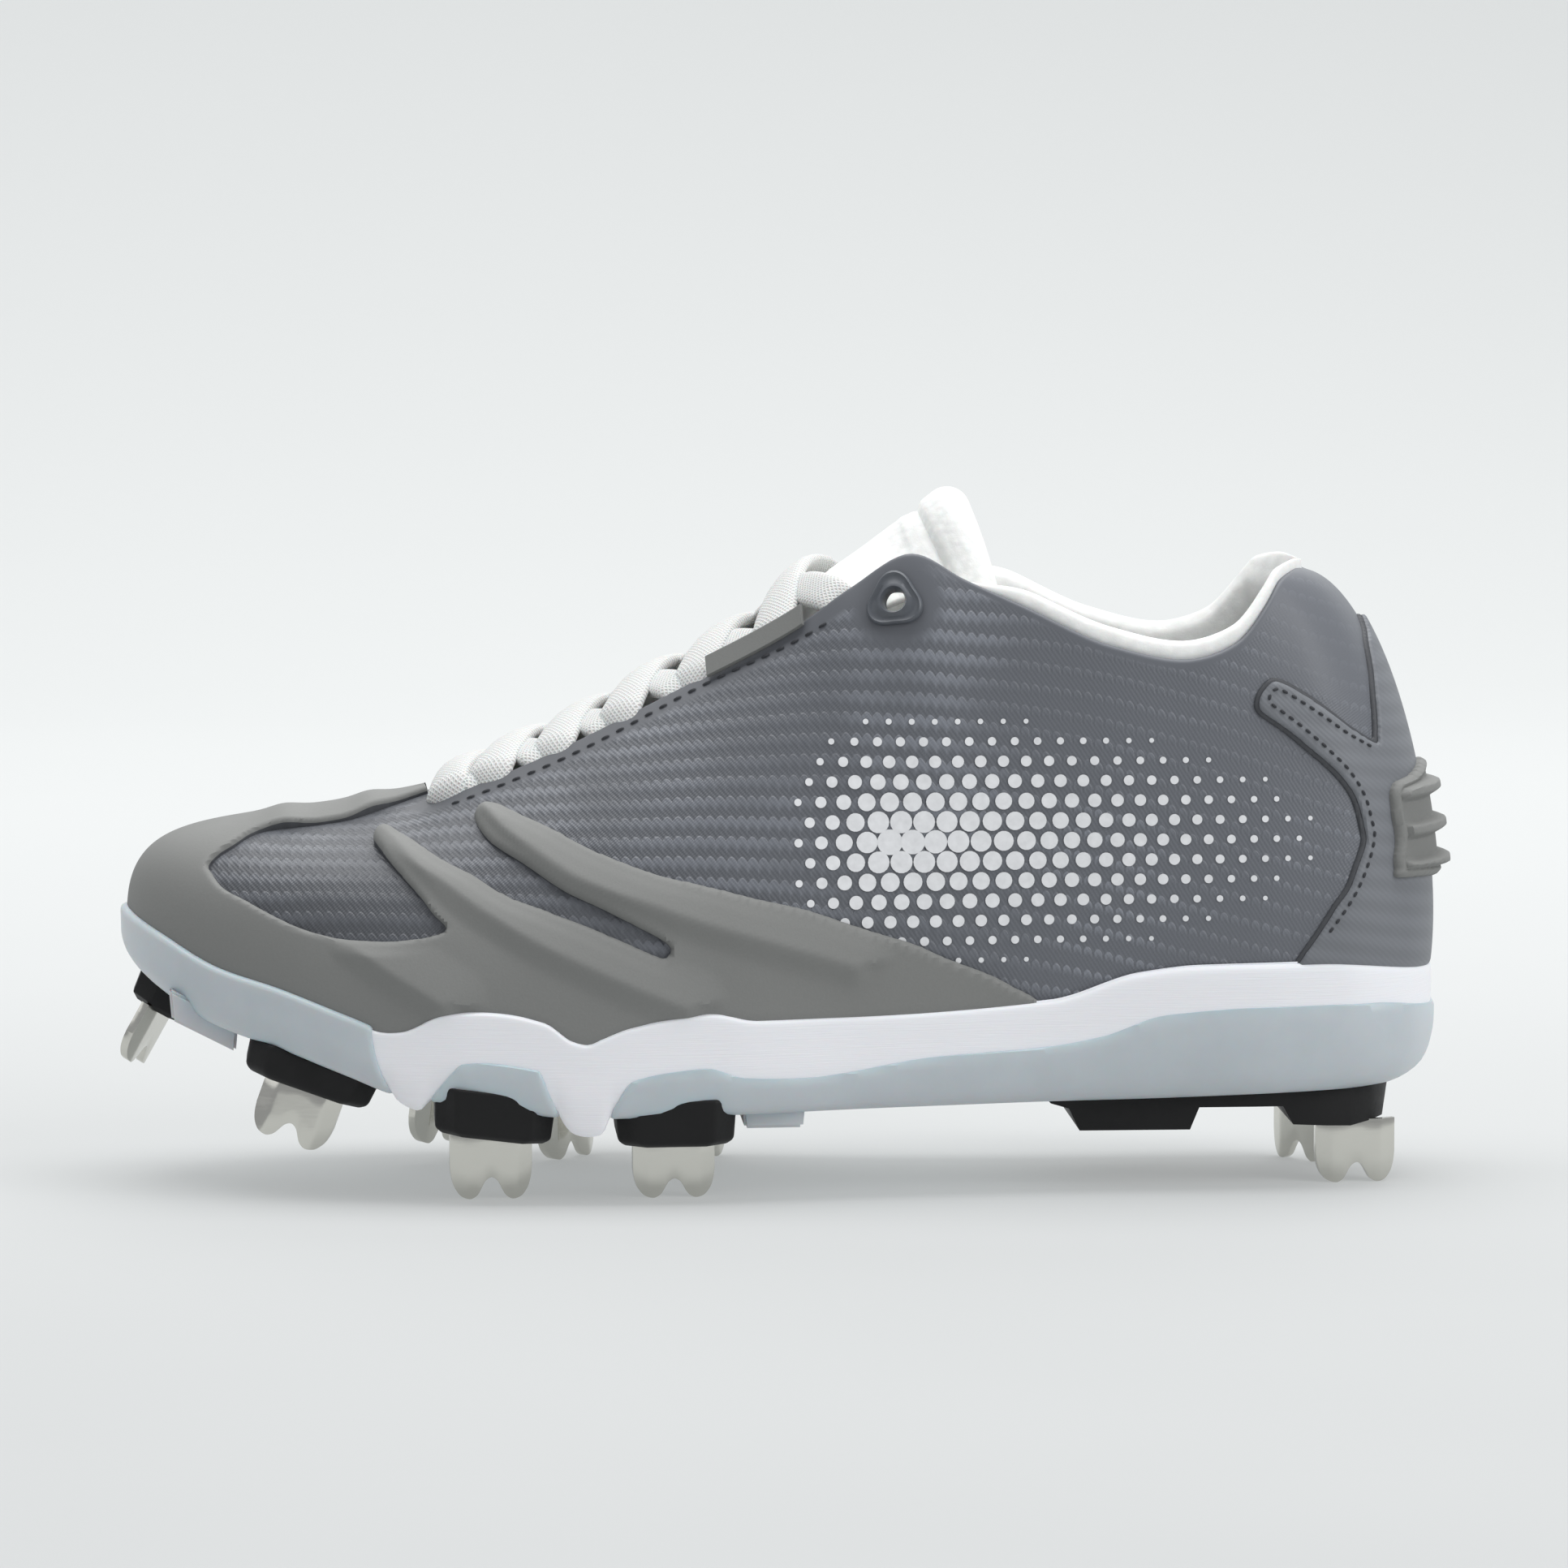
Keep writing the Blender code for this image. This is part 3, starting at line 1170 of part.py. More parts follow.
def make_heel_blade(row):
    """A steel blade under the rear pad of the heel plate."""
    level = BLADE_REACH + PAD_DEPTH - HEEL_PAD_DEPTH
    place = Matrix.Translation(((row.along - 0.5) * SHOE_LENGTH, row.across * HEEL_WIDTH, level))
    place = place @ Matrix.Rotation(math.radians(row.turn), 4, "Z")
    return new_object(f"blade_heel_{row.name}", blade_mesh(place, PART_GAP, level), "blade_steel")


def make_tab(side):
    """Reinforcing tab that stands up past the eyestay edge."""
    name = "tab_lateral" if side < 0 else "tab_medial"
    arounds = np.linspace(TAB_ENDS[0], TAB_ENDS[1], 5)
    rings = arounds * 0.5 if side < 0 else 1 - arounds * 0.5
    foot = upper_surface(rings, TAB_FOOT, PART_GAP + TAB_SEAT)
    climb = rib_points(rings, 1.0) - rib_points(rings, TAB_FOOT)
    climb /= np.linalg.norm(climb, axis=-1, keepdims=True)
    climb[:, 2] += TAB_UPRIGHT
    climb /= np.linalg.norm(climb, axis=-1, keepdims=True)
    out = np.cross(np.gradient(foot, axis=0), climb)
    out /= np.linalg.norm(out, axis=-1, keepdims=True)
    out *= np.where(out[:, 1:2] * side < 0, -1, 1)
    grids = []
    for wall in (TAB_WALL, 0.0):
        grids.append([[tuple(start + step * reach + away * wall)
                       for reach in np.linspace(0, TAB_REACH, 3)]
                      for start, step, away in zip(foot, climb, out)])
    return new_object(name, grid_solid(*grids), "counter_film")


def material_setup():
    """Make the materials that every piece draws on."""
    for name in MATERIALS:
        material_of(name)


def centre_on_origin(pieces):
    """Hang pieces and cutters on an empty so that the middle of the shoe is the origin."""
    bpy.context.view_layer.update()
    graph = bpy.context.evaluated_depsgraph_get()
    corners = []
    for piece in pieces:
        seen = piece.evaluated_get(graph)
        corners += [seen.matrix_world @ vertex.co for vertex in seen.data.vertices]
    low = Vector([min(corner[axis] for corner in corners) for axis in range(3)])
    high = Vector([max(corner[axis] for corner in corners) for axis in range(3)])
    carrier = bpy.data.objects.new("shoe", None)
    bpy.context.scene.collection.objects.link(carrier)
    carrier.location = (-0.5 * (low.x + high.x), -0.5 * (low.y + high.y), -low.z)
    for item in bpy.context.scene.objects:
        if item is not carrier:
            item.parent = carrier
    return carrier


def main():
    """Build every piece of the shoe."""
    clear_scene()
    material_setup()
    pieces = list(make_sole())
    pieces.append(make_upper())
    pieces.append(make_insole())
    pieces.append(make_tongue())
    pieces.append(make_collar())
    pieces.append(make_laces())
    pieces.append(make_toe_overlay())
    pieces.append(make_counter())
    pieces.append(make_grip())
    for side in (-1, 1):
        pieces.append(make_eyelet(side))
        pieces.append(make_tab(side))
    level = sole_level()
    for row in STUDS:
        pieces.append(make_pad(row, level))
        pieces.append(make_blade(row))
    pieces.append(make_heel_plate())
    for row in HEEL_BLADES:
        pieces.append(make_heel_blade(row))
    centre_on_origin(pieces)


main()
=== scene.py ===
"""Looks of a left baseball cleat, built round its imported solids.

Every piece is in metres and lies where the solids lie: toe towards -X, outer side
towards -Y, floor at z = 0. The upper, the overlays and the sole repeat the curves of the
solids in finer steps, and the cloth, rubber, foam and steel are node materials.
"""

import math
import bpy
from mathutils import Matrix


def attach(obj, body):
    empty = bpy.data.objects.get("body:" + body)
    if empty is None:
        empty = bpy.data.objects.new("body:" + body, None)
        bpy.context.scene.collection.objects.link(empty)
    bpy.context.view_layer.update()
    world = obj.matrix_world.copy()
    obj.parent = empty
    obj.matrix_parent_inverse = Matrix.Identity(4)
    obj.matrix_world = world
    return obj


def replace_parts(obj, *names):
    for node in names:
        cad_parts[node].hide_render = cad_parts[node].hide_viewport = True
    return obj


bl_info = {
    "name": "Baseball cleat looks",
    "version": (1, 0, 0),
    "blender": (4, 5, 0),
    "location": "3D View > Sidebar > Cleat",
    "description": "Builds the visible pieces of a baseball cleat round its solids",
    "category": "Add Mesh",
}

from collections import namedtuple

import bmesh
import bpy
import numpy as np
from mathutils import Matrix, Vector
from mathutils.kdtree import KDTree

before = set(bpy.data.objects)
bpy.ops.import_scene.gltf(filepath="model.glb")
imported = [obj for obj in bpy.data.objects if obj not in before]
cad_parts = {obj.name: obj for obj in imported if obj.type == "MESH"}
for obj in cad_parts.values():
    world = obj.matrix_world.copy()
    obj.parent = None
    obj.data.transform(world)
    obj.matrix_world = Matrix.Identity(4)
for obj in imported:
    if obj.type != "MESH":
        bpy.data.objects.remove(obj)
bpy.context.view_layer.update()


def table(kind, *rows):
    """Rows of a table under the names of its columns."""
    return tuple(kind(*row) for row in rows)


# Where the shoe's own drawing origin lies in the part's frame
PLACE = np.array((-0.001807, 0.001719, 0.0))

# Named sizes, as in the solids
SHOE_LENGTH = 0.291
BALL_WIDTH = 0.098
HEEL_WIDTH = 0.072
INSTEP_HEIGHT = 0.1396
HEEL_HEIGHT = 0.1350
TOE_SPRING = 0.030
BLADE_REACH = 0.0125
PAD_DEPTH = 0.0075
RIM_HEIGHT = 0.029
HEEL_STACK = 0.019
EDGE_ROUND = 0.0065
UPPER_WALL = 0.0020
OVERLAY_WALL = 0.0014
COUNTER_WALL = 0.0013
TONGUE_THICKNESS = 0.0075
COLLAR_PAD = 0.0055
COLLAR_STAND = 0.0030
EYELET_HOLE = 0.0027
TAB_FOOT = 0.985
TAB_UPRIGHT = 1.6
EYELET_RIM = 0.0035
GRIP_RIB = 0.0028
GRIP_BASE = 0.0012
BLADE_WIDTH = 0.018
BLADE_THICKNESS = 0.0018
BLADE_BEND = math.radians(24)
HEEL_PAD_DEPTH = 0.0070
PART_GAP = 0.0003
RIM_LEAN_START = 0.0026
TOE_CENTRE = 0.055
LACE_LIFT = 0.0009
# Where along the shoe the joint's front end begins and ends
JOINT_FRONT = (0.178, 0.196)
# Ring places where the collar lining starts and where it has its full height
COLLAR_START = 0.305
COLLAR_GROWN = 0.335
TAB_RINGS = (0.2375, 0.2685)
# Low tread blocks: place of the first, step and length as shares of the shoe's length
TREAD_START = 0.555
TREAD_STEP = 0.0185
TREAD_LENGTH = 0.0135
TREAD_COUNT = 7
# Lip of the outer pads: how deep it reaches, over what it fades, how far it goes out and up,
# and from which share of the pad's height
LIP_DEPTH = 0.011
LIP_FADE = 0.006
LIP_OUT = 0.0021
LIP_UP = 0.0034
LIP_FROM = 0.45
PAD_PROBES = 15
# Where a blade starts to bend, as a share of its half width
BEND_START = 0.62
BLADE_BEVEL = 0.00045
# Lift of a lace's middle when it lies over or under, and how deep its ends are tucked, as
# shares of its thickness
LACE_OVER = 0.50
LACE_UNDER = 0.08
LACE_TUCK = 1.5
LACE_SIDES = 28

OutlineRow = namedtuple("OutlineRow", "along lateral medial")
# Half widths of the sole as shares of the width at that station
OUTLINE = table(
    OutlineRow,
    (0.00, -0.102, 0.102),
    (0.02, 0.143, 0.245),
    (0.05, 0.255, 0.337),
    (0.10, 0.357, 0.408),
    (0.18, 0.444, 0.459),
    (0.27, 0.495, 0.480),
    (0.36, 0.515, 0.464),
    (0.45, 0.495, 0.408),
    (0.55, 0.471, 0.372),
    (0.65, 0.489, 0.407),
    (0.75, 0.507, 0.458),
    (0.85, 0.500, 0.479),
    (0.92, 0.465, 0.451),
    (0.97, 0.347, 0.347),
    (1.00, 0.000, 0.000),
)

ProfileRow = namedtuple("ProfileRow", "along spring footbed rounding")
# Bottom line as a share of the toe spring, foot bed as a share of the heel stack,
# and how far the bottom edge is rounded in as a share of the edge round
PROFILE = table(
    ProfileRow,
    (0.00, 1.00, 0.26, 0.60),
    (0.03, 0.83, 0.27, 0.50),
    (0.07, 0.62, 0.28, 0.40),
    (0.12, 0.47, 0.32, 0.35),
    (0.17, 0.29, 0.36, 0.35),
    (0.21, 0.15, 0.41, 0.35),
    (0.26, 0.09, 0.44, 0.35),
    (0.35, 0.00, 0.45, 0.35),
    (0.45, 0.01, 0.53, 0.45),
    (0.55, 0.02, 0.63, 0.60),
    (0.65, 0.03, 0.76, 0.70),
    (0.75, 0.045, 0.89, 0.80),
    (0.85, 0.07, 0.97, 0.90),
    (1.00, 0.12, 1.00, 1.00),
)

LineRow = namedtuple("LineRow", "along height")
# Top of the rim above the bottom line as a share of the rim height
RIM_LATERAL = table(
    LineRow, (0.000, 0.35), (0.036, 0.39), (0.120, 0.41), (0.186, 0.41), (0.209, 0.47),
    (0.244, 0.66), (0.290, 0.71), (0.316, 0.68), (0.337, 0.56), (0.348, 0.54), (0.358, 0.58),
    (0.380, 0.66), (0.440, 0.75), (0.476, 0.69), (0.540, 0.69), (0.697, 0.76), (0.765, 0.95),
    (0.810, 0.99), (0.900, 0.98), (1.000, 0.84),
)
RIM_MEDIAL = table(
    LineRow, (0.000, 0.35), (0.036, 0.39), (0.120, 0.41), (0.175, 0.42), (0.225, 0.64),
    (0.270, 0.70), (0.296, 0.60), (0.320, 0.69), (0.365, 0.71), (0.392, 0.60), (0.420, 0.70),
    (0.470, 0.75), (0.600, 0.80), (0.765, 0.95), (0.810, 0.99), (0.900, 0.98), (1.000, 0.84),
)
# Line between white band and grey side wall above the bottom line, same share
JOINT_LATERAL = table(
    LineRow, (0.000, 1.30), (0.183, 1.30), (0.187, 0.41), (0.199, 0.03), (0.206, -0.06),
    (0.221, -0.10), (0.228, -0.03), (0.246, 0.20), (0.255, 0.29), (0.290, 0.33), (0.311, 0.32),
    (0.320, 0.13), (0.331, -0.08), (0.338, -0.135), (0.348, -0.15), (0.358, -0.135), (0.367, 0.05),
    (0.382, 0.26), (0.422, 0.33), (0.436, 0.34), (0.465, 0.26), (0.508, 0.24), (0.608, 0.36),
    (0.697, 0.41), (0.735, 0.47), (0.785, 0.62), (0.850, 0.65), (0.945, 0.63), (1.000, 0.53),
)
JOINT_MEDIAL = table(
    LineRow, (0.000, 1.30), (0.168, 1.30), (0.173, 0.41), (0.186, 0.03), (0.193, -0.08),
    (0.205, -0.10), (0.213, -0.03), (0.229, 0.22), (0.238, 0.30), (0.266, 0.32), (0.277, 0.24),
    (0.286, 0.02), (0.292, -0.12), (0.302, -0.12), (0.308, 0.02), (0.318, 0.24), (0.330, 0.31),
    (0.358, 0.31), (0.370, 0.22), (0.381, -0.02), (0.388, -0.13), (0.400, -0.13), (0.408, 0.04),
    (0.420, 0.25), (0.460, 0.33), (0.530, 0.32), (0.697, 0.43), (0.785, 0.62), (0.850, 0.65),
    (0.945, 0.63), (1.000, 0.53),
)

TopRow = namedtuple("TopRow", "around along ball heel instep height")
# Top edge of the upper: place along the shoe, half opening in shares of ball and heel
# width, height in shares of instep height and heel height
TOP_EDGE = table(
    TopRow,
    (0.00, 0.2306, 0.000, 0.000, 0.615, 0.000),
    (0.10, 0.2325, 0.055, 0.000, 0.613, 0.000),
    (0.20, 0.2380, 0.120, 0.000, 0.608, 0.000),
    (0.27, 0.2580, 0.168, 0.000, 0.625, 0.000),
    (0.35, 0.3180, 0.189, 0.000, 0.678, 0.000),
    (0.45, 0.4150, 0.199, 0.000, 0.779, 0.000),
    (0.53, 0.5070, 0.222, 0.000, 0.882, 0.000),
    (0.57, 0.5510, 0.245, 0.000, 0.948, 0.000),
    (0.60, 0.5950, 0.240, 0.035, 1.000, 0.000),
    (0.63, 0.6350, 0.150, 0.185, 0.700, 0.268),
    (0.67, 0.6870, 0.100, 0.290, 0.420, 0.505),
    (0.72, 0.7450, 0.040, 0.390, 0.250, 0.625),
    (0.77, 0.8030, 0.000, 0.440, 0.150, 0.706),
    (0.81, 0.8400, 0.000, 0.420, 0.100, 0.785),
    (0.85, 0.8640, 0.000, 0.370, 0.050, 0.896),
    (0.89, 0.8770, 0.000, 0.300, 0.000, 0.990),
    (0.94, 0.8920, 0.000, 0.165, 0.000, 1.005),
    (1.00, 0.9000, 0.000, 0.000, 0.000, 1.000),
)

RibRow = namedtuple("RibRow", "around lean rise reach drop")
# Shape of the upper's ribs: lean out as a share of the ball width, rise and drop as shares
# of the rib's height, reach as a share of its plan length
RIBS = table(
    RibRow,
    (0.00, 0.030, 0.92, 0.720, 0.330),
    (0.17, 0.026, 0.84, 0.720, 0.290),
    (0.25, 0.022, 0.66, 0.660, 0.200),
    (0.32, 0.020, 0.56, 0.600, 0.180),
    (0.42, 0.020, 0.50, 0.550, 0.150),
    (0.50, 0.020, 0.44, 0.550, 0.130),
    (0.60, 0.022, 0.36, 0.600, 0.120),
    (0.72, 0.024, 0.34, 0.700, 0.200),
    (0.82, 0.036, 0.32, 0.600, 0.200),
    (0.91, 0.050, 0.30, 0.620, 0.100),
    (1.00, 0.062, 0.30, 0.720, 0.030),
)

TongueRow = namedtuple("TongueRow", "around depth forward inward up pad")
# Tongue sections: depth of the edge on the upper, handle of the section's curve as shares
# of the instep height, thickness as a share of the tongue's
TONGUE = table(
    TongueRow,
    (0.225, 0.965, 0.000, 0.050, 0.010, 0.35),
    (0.270, 0.950, 0.000, 0.070, 0.032, 0.40),
    (0.340, 0.940, 0.000, 0.085, 0.038, 0.42),
    (0.420, 0.935, 0.000, 0.095, 0.044, 0.44),
    (0.500, 0.930, 0.010, 0.105, 0.052, 0.46),
    (0.560, 0.920, 0.030, 0.115, 0.076, 0.50),
    (0.600, 0.900, 0.045, 0.125, 0.118, 0.60),
    (0.630, 0.890, 0.100, 0.090, 0.200, 0.85),
    (0.650, 0.880, 0.130, 0.070, 0.270, 1.00),
)

StudRow = namedtuple("StudRow", "name along across length width turn lift")
# Stud pads: middle along and across, length and width as shares of the ball width, turn of
# the blade, blade's height above the floor as a share of its reach
STUDS = table(
    StudRow,
    ("a", 0.1460, -0.262, 0.300, 0.235, -8.0, 0.86),
    ("b", 0.2800, -0.345, 0.270, 0.270, 4.0, 0.00),
    ("c", 0.4140, -0.345, 0.270, 0.270, 5.0, 0.00),
    ("d", 0.0400, 0.095, 0.170, 0.180, 72.0, 2.00),
    ("e", 0.2480, 0.300, 0.230, 0.220, 52.0, 0.30),
    ("f", 0.3440, 0.312, 0.230, 0.220, 48.0, 0.00),
    ("g", 0.4420, 0.285, 0.230, 0.220, 40.0, 0.00),
)
HeelBladeRow = namedtuple("HeelBladeRow", "name along across turn")
HEEL_BLADES = table(
    HeelBladeRow,
    ("lateral", 0.9360, -0.250, 8.0),
    ("medial", 0.9080, 0.250, -52.0),
)
BladeRow = namedtuple("BladeRow", "across depth")
# Lower edge of a blade: across as a share of its half width, depth as a share of its reach
BLADE_CURVE = table(
    BladeRow, (-1.00, 0.50), (-0.97, 0.66), (-0.88, 0.84), (-0.70, 0.97), (-0.52, 1.00),
    (-0.36, 0.95), (-0.12, 0.70), (0.00, 0.66), (0.12, 0.70), (0.36, 0.95), (0.52, 1.00),
    (0.70, 0.97), (0.88, 0.84), (0.97, 0.66), (1.00, 0.50),
)

LUG_DEPTH = 0.0045
LugRow = namedtuple("LugRow", "low high across wide depth")
# Moulded lugs of the outsole: start and end along, middle and width in shares of the ball
# width, depth as a share of the lug depth
LUGS = table(
    LugRow,
    (0.036, 0.088, -0.160, 0.200, 1.20),
    (0.464, 0.512, -0.300, 0.240, 1.00),
    (0.500, 0.540, 0.250, 0.200, 0.80),
)

FacePoint = namedtuple("FacePoint", "ring rise")
# Outline of the toe overlay on the upper, on either side: ring from the toe, rise up the rib
OVERLAY_EDGE = table(
    FacePoint, (0.350, -0.030), (0.335, 0.058), (0.327, 0.092), (0.317, 0.125), (0.302, 0.155),
    (0.290, 0.192), (0.275, 0.233), (0.258, 0.283), (0.242, 0.325), (0.221, 0.392), (0.208, 0.442),
    (0.192, 0.533), (0.179, 0.633), (0.165, 0.750), (0.156, 0.833), (0.150, 0.858), (0.146, 0.820),
    (0.148, 0.750), (0.154, 0.658), (0.165, 0.558), (0.177, 0.458), (0.190, 0.383), (0.202, 0.317),
    (0.210, 0.275), (0.213, 0.250), (0.210, 0.233), (0.198, 0.283), (0.185, 0.342), (0.173, 0.392),
    (0.158, 0.458), (0.146, 0.542), (0.133, 0.617), (0.115, 0.733), (0.098, 0.800), (0.090, 0.790),
    (0.094, 0.725), (0.104, 0.658), (0.117, 0.550), (0.127, 0.458), (0.133, 0.392), (0.138, 0.345),
    (0.133, 0.317), (0.123, 0.292), (0.113, 0.267), (0.102, 0.242), (0.090, 0.233), (0.079, 0.250),
    (0.067, 0.283), (0.056, 0.308), (0.048, 0.350), (0.044, 0.375), (0.042, 0.442), (0.040, 0.525),
    (0.033, 0.650), (0.044, 0.767), (0.050, 0.842), (0.046, 0.925), (0.042, 0.992), (0.040, 1.060),
    (-0.020, 1.060), (-0.020, -0.030),
)
# Ridges that run down the overlay's fingers
RIDGES = (
    table(FacePoint, (0.096, 0.742), (0.117, 0.600), (0.135, 0.500), (0.150, 0.400),
          (0.167, 0.308), (0.185, 0.233), (0.202, 0.167), (0.217, 0.117)),
    table(FacePoint, (0.148, 0.833), (0.163, 0.633), (0.177, 0.500), (0.190, 0.425),
          (0.206, 0.358), (0.223, 0.292), (0.246, 0.225), (0.273, 0.158)),
    table(FacePoint, (0.106, 0.233), (0.117, 0.200), (0.127, 0.167), (0.138, 0.125)),
)
# Raised knuckles across the cap's spine: place along X, width and height in metres
TOE_KNUCKLES = ((-0.1095, 0.0042, 0.0009), (-0.0905, 0.0040, 0.0009))
COUNTER_EDGE = table(
    FacePoint, (0.416, 0.020), (0.419, 0.100), (0.427, 0.175), (0.433, 0.225), (0.438, 0.258),
    (0.442, 0.300), (0.446, 0.342), (0.446, 0.375), (0.4445, 0.430), (0.440, 0.483),
    (0.434, 0.535), (0.4275, 0.590), (0.4185, 0.672), (0.4115, 0.740), (0.4105, 0.768),
    (0.4125, 0.790), (0.4175, 0.793), (0.423, 0.755), (0.435, 0.658), (0.446, 0.575),
    (0.458, 0.517), (0.461, 0.535), (0.469, 0.625), (0.486, 0.720), (0.520, 0.722), (0.520, 0.020),
)
GRIP_EDGE = table(
    FacePoint, (0.460, 0.428), (0.458, 0.385), (0.458, 0.333), (0.456, 0.283), (0.462, 0.255),
    (0.520, 0.250), (0.520, 0.435), (0.470, 0.436),
)
# Printed dots: middle of the patch in X and Z, and how far it reaches each way, in metres
DOT_MIDDLE = (0.022, 0.078)
DOT_HEAD = 0.030
DOT_TAIL = 0.115
DOT_RISE = 0.034
# Radius of a full dot and distance of the rows as shares of the step, smallest radius, and
# how far a dot may lie beside the surface
DOT_FILL = 0.56
DOT_ROW = 0.866
DOT_LEAST = 0.0005
DOT_STRAY = 0.002
GRIP_RIBS = (0.504, 0.560, 0.618)
GRIP_RIB_WIDTH = 0.0155
EYELET_RING = 0.294
EYELET_RISE = 0.855
LACE_ENDS = (0.246, 0.566)
LACE_CROSSINGS = 6
EYESTAY_STITCHES = table(
    FacePoint, (0.129, 0.935), (0.160, 0.945), (0.200, 0.950), (0.236, 0.965), (0.262, 0.945),
    (0.278, 0.930),
)
COUNTER_STITCHES = table(
    FacePoint, (0.4298, 0.175), (0.4408, 0.258), (0.4485, 0.342), (0.4485, 0.385),
    (0.4473, 0.430), (0.4430, 0.486), (0.4370, 0.541), (0.4307, 0.598), (0.4220, 0.676),
    (0.4153, 0.742), (0.4146, 0.762), (0.4163, 0.773), (0.4190, 0.765), (0.4225, 0.735),
    (0.4335, 0.645), (0.4445, 0.563), (0.4565, 0.505),
)
# Section of the collar lining: rise up the rib, depth in shares of the pad, share of the stand
COLLAR_SECTION = (
    (0.64, 0.10, 0.0), (0.74, 0.04, 0.0), (0.88, 0.0, 0.0), (0.98, 0.0, 0.1), (1.0, -0.08, 0.7),
    (1.0, 0.05, 1.45), (1.0, 0.45, 1.70), (1.0, 0.90, 1.0), (0.97, 1.03, 0.25),
    (0.92, 1.05, 0.0), (0.84, 0.92, 0.0), (0.74, 0.60, 0.0), (0.64, 0.28, 0.0),
)
# Section of a top eyelet: share of its rim's width, height over the upper in metres
EYELET_SECTION = (
    (1.0, 0.0001), (1.0, 0.0008), (0.95, 0.0012), (0.86, 0.0014), (0.72, 0.0011),
    (0.50, 0.0011), (0.30, 0.0017), (0.14, 0.0018), (0.0, 0.0010), (0.0, -0.0020),
)
# Section of a tab: reach up from its foot, and how far it stands out
TAB_SECTION = (
    (0.0, 0.0), (0.0, 0.0010), (0.0002, 0.0015), (0.0044, 0.0015), (0.0046, 0.0013),
    (0.0046, 0.0),
)
# A stitch: places along it with shares of its width and height, and a section across it
STITCH_RUN = ((0.0, 0.35, -0.15), (0.18, 0.9, 0.75), (0.5, 1.0, 1.0), (0.82, 0.9, 0.75),
              (1.0, 0.35, -0.15))
STITCH_SECTION = ((-1.0, -0.1), (-0.6, 0.75), (0.0, 1.0), (0.6, 0.75), (1.0, -0.1))


def smooth_curve(places, values):
    """Return a curve through the rows that never swings past them."""
    xs = np.asarray(places, dtype=float)
    ys = np.asarray(values, dtype=float)
    steps = np.diff(xs)
    slopes = np.diff(ys) / steps
    tangents = np.zeros_like(ys)
    tangents[0] = slopes[0]
    tangents[-1] = slopes[-1]
    for row in range(1, len(xs) - 1):
        before, after = slopes[row - 1], slopes[row]
        if before * after > 0:
            first = 2 * steps[row] + steps[row - 1]
            second = steps[row] + 2 * steps[row - 1]
            tangents[row] = (first + second) / (first / before + second / after)

    def value(place):
        place = np.clip(place, xs[0], xs[-1])
        row = np.clip(np.searchsorted(xs, place) - 1, 0, len(steps) - 1)
        part = (place - xs[row]) / steps[row]
        square, cube = part ** 2, part ** 3
        return ((2 * cube - 3 * square + 1) * ys[row]
                + (cube - 2 * square + part) * steps[row] * tangents[row]
                + (3 * square - 2 * cube) * ys[row + 1]
                + (cube - square) * steps[row] * tangents[row + 1])

    return value


def column(rows, name, key="along"):
    """Return the curve of one named column of a table."""
    return smooth_curve([getattr(row, key) for row in rows], [getattr(row, name) for row in rows])


def unit(vectors):
    """The same directions with a length of one."""
    return vectors / np.maximum(np.linalg.norm(vectors, axis=-1, keepdims=True), 1e-12)


def walked_along(line):
    """Distance from a line's start to each of its points."""
    return np.concatenate([[0], np.cumsum(np.linalg.norm(np.diff(line, axis=0), axis=1))])


def blend(low, high, place):
    """Return a soft step from 0 at low to 1 at high."""
    part = np.clip((place - low) / (high - low), 0, 1)
    return part * part * (3 - 2 * part)


SPRING = column(PROFILE, "spring")
FOOTBED = column(PROFILE, "footbed")
ROUNDING = column(PROFILE, "rounding")
RIM_LINES = (column(RIM_LATERAL, "height"), column(RIM_MEDIAL, "height"))
JOINT_LINES = (column(JOINT_LATERAL, "height"), column(JOINT_MEDIAL, "height"))
TOP = {name: column(TOP_EDGE, name, "around") for name in TopRow._fields[1:]}
RIB = {name: column(RIBS, name, "around") for name in RibRow._fields[1:]}
TONGUE_CURVES = {name: column(TONGUE, name, "around") for name in TongueRow._fields[1:]}


def bottom_height(along):
    """Height of the outsole's bottom line over the floor."""
    return BLADE_REACH + PAD_DEPTH + TOE_SPRING * SPRING(along)


def footbed_height(along):
    """Height of the foot bed."""
    return bottom_height(along) + HEEL_STACK * FOOTBED(along)


def side_line(lines, ring, along):
    """Read the lateral or the medial line, by the half of the ring."""
    return np.where(np.mod(ring, 1.0) < 0.5, lines[0](along), lines[1](along))


def rim_height(ring, along):
    """Height of the rim's top edge."""
    return bottom_height(along) + RIM_HEIGHT * side_line(RIM_LINES, ring, along)


def joint_height(ring, along):
    """Height of the line between the white band and the grey side wall."""
    return bottom_height(along) + RIM_HEIGHT * side_line(JOINT_LINES, ring, along)


def foot_width(along):
    """Width that the outline's shares refer to."""
    return BALL_WIDTH + (HEEL_WIDTH - BALL_WIDTH) * blend(0.45, 0.75, along)


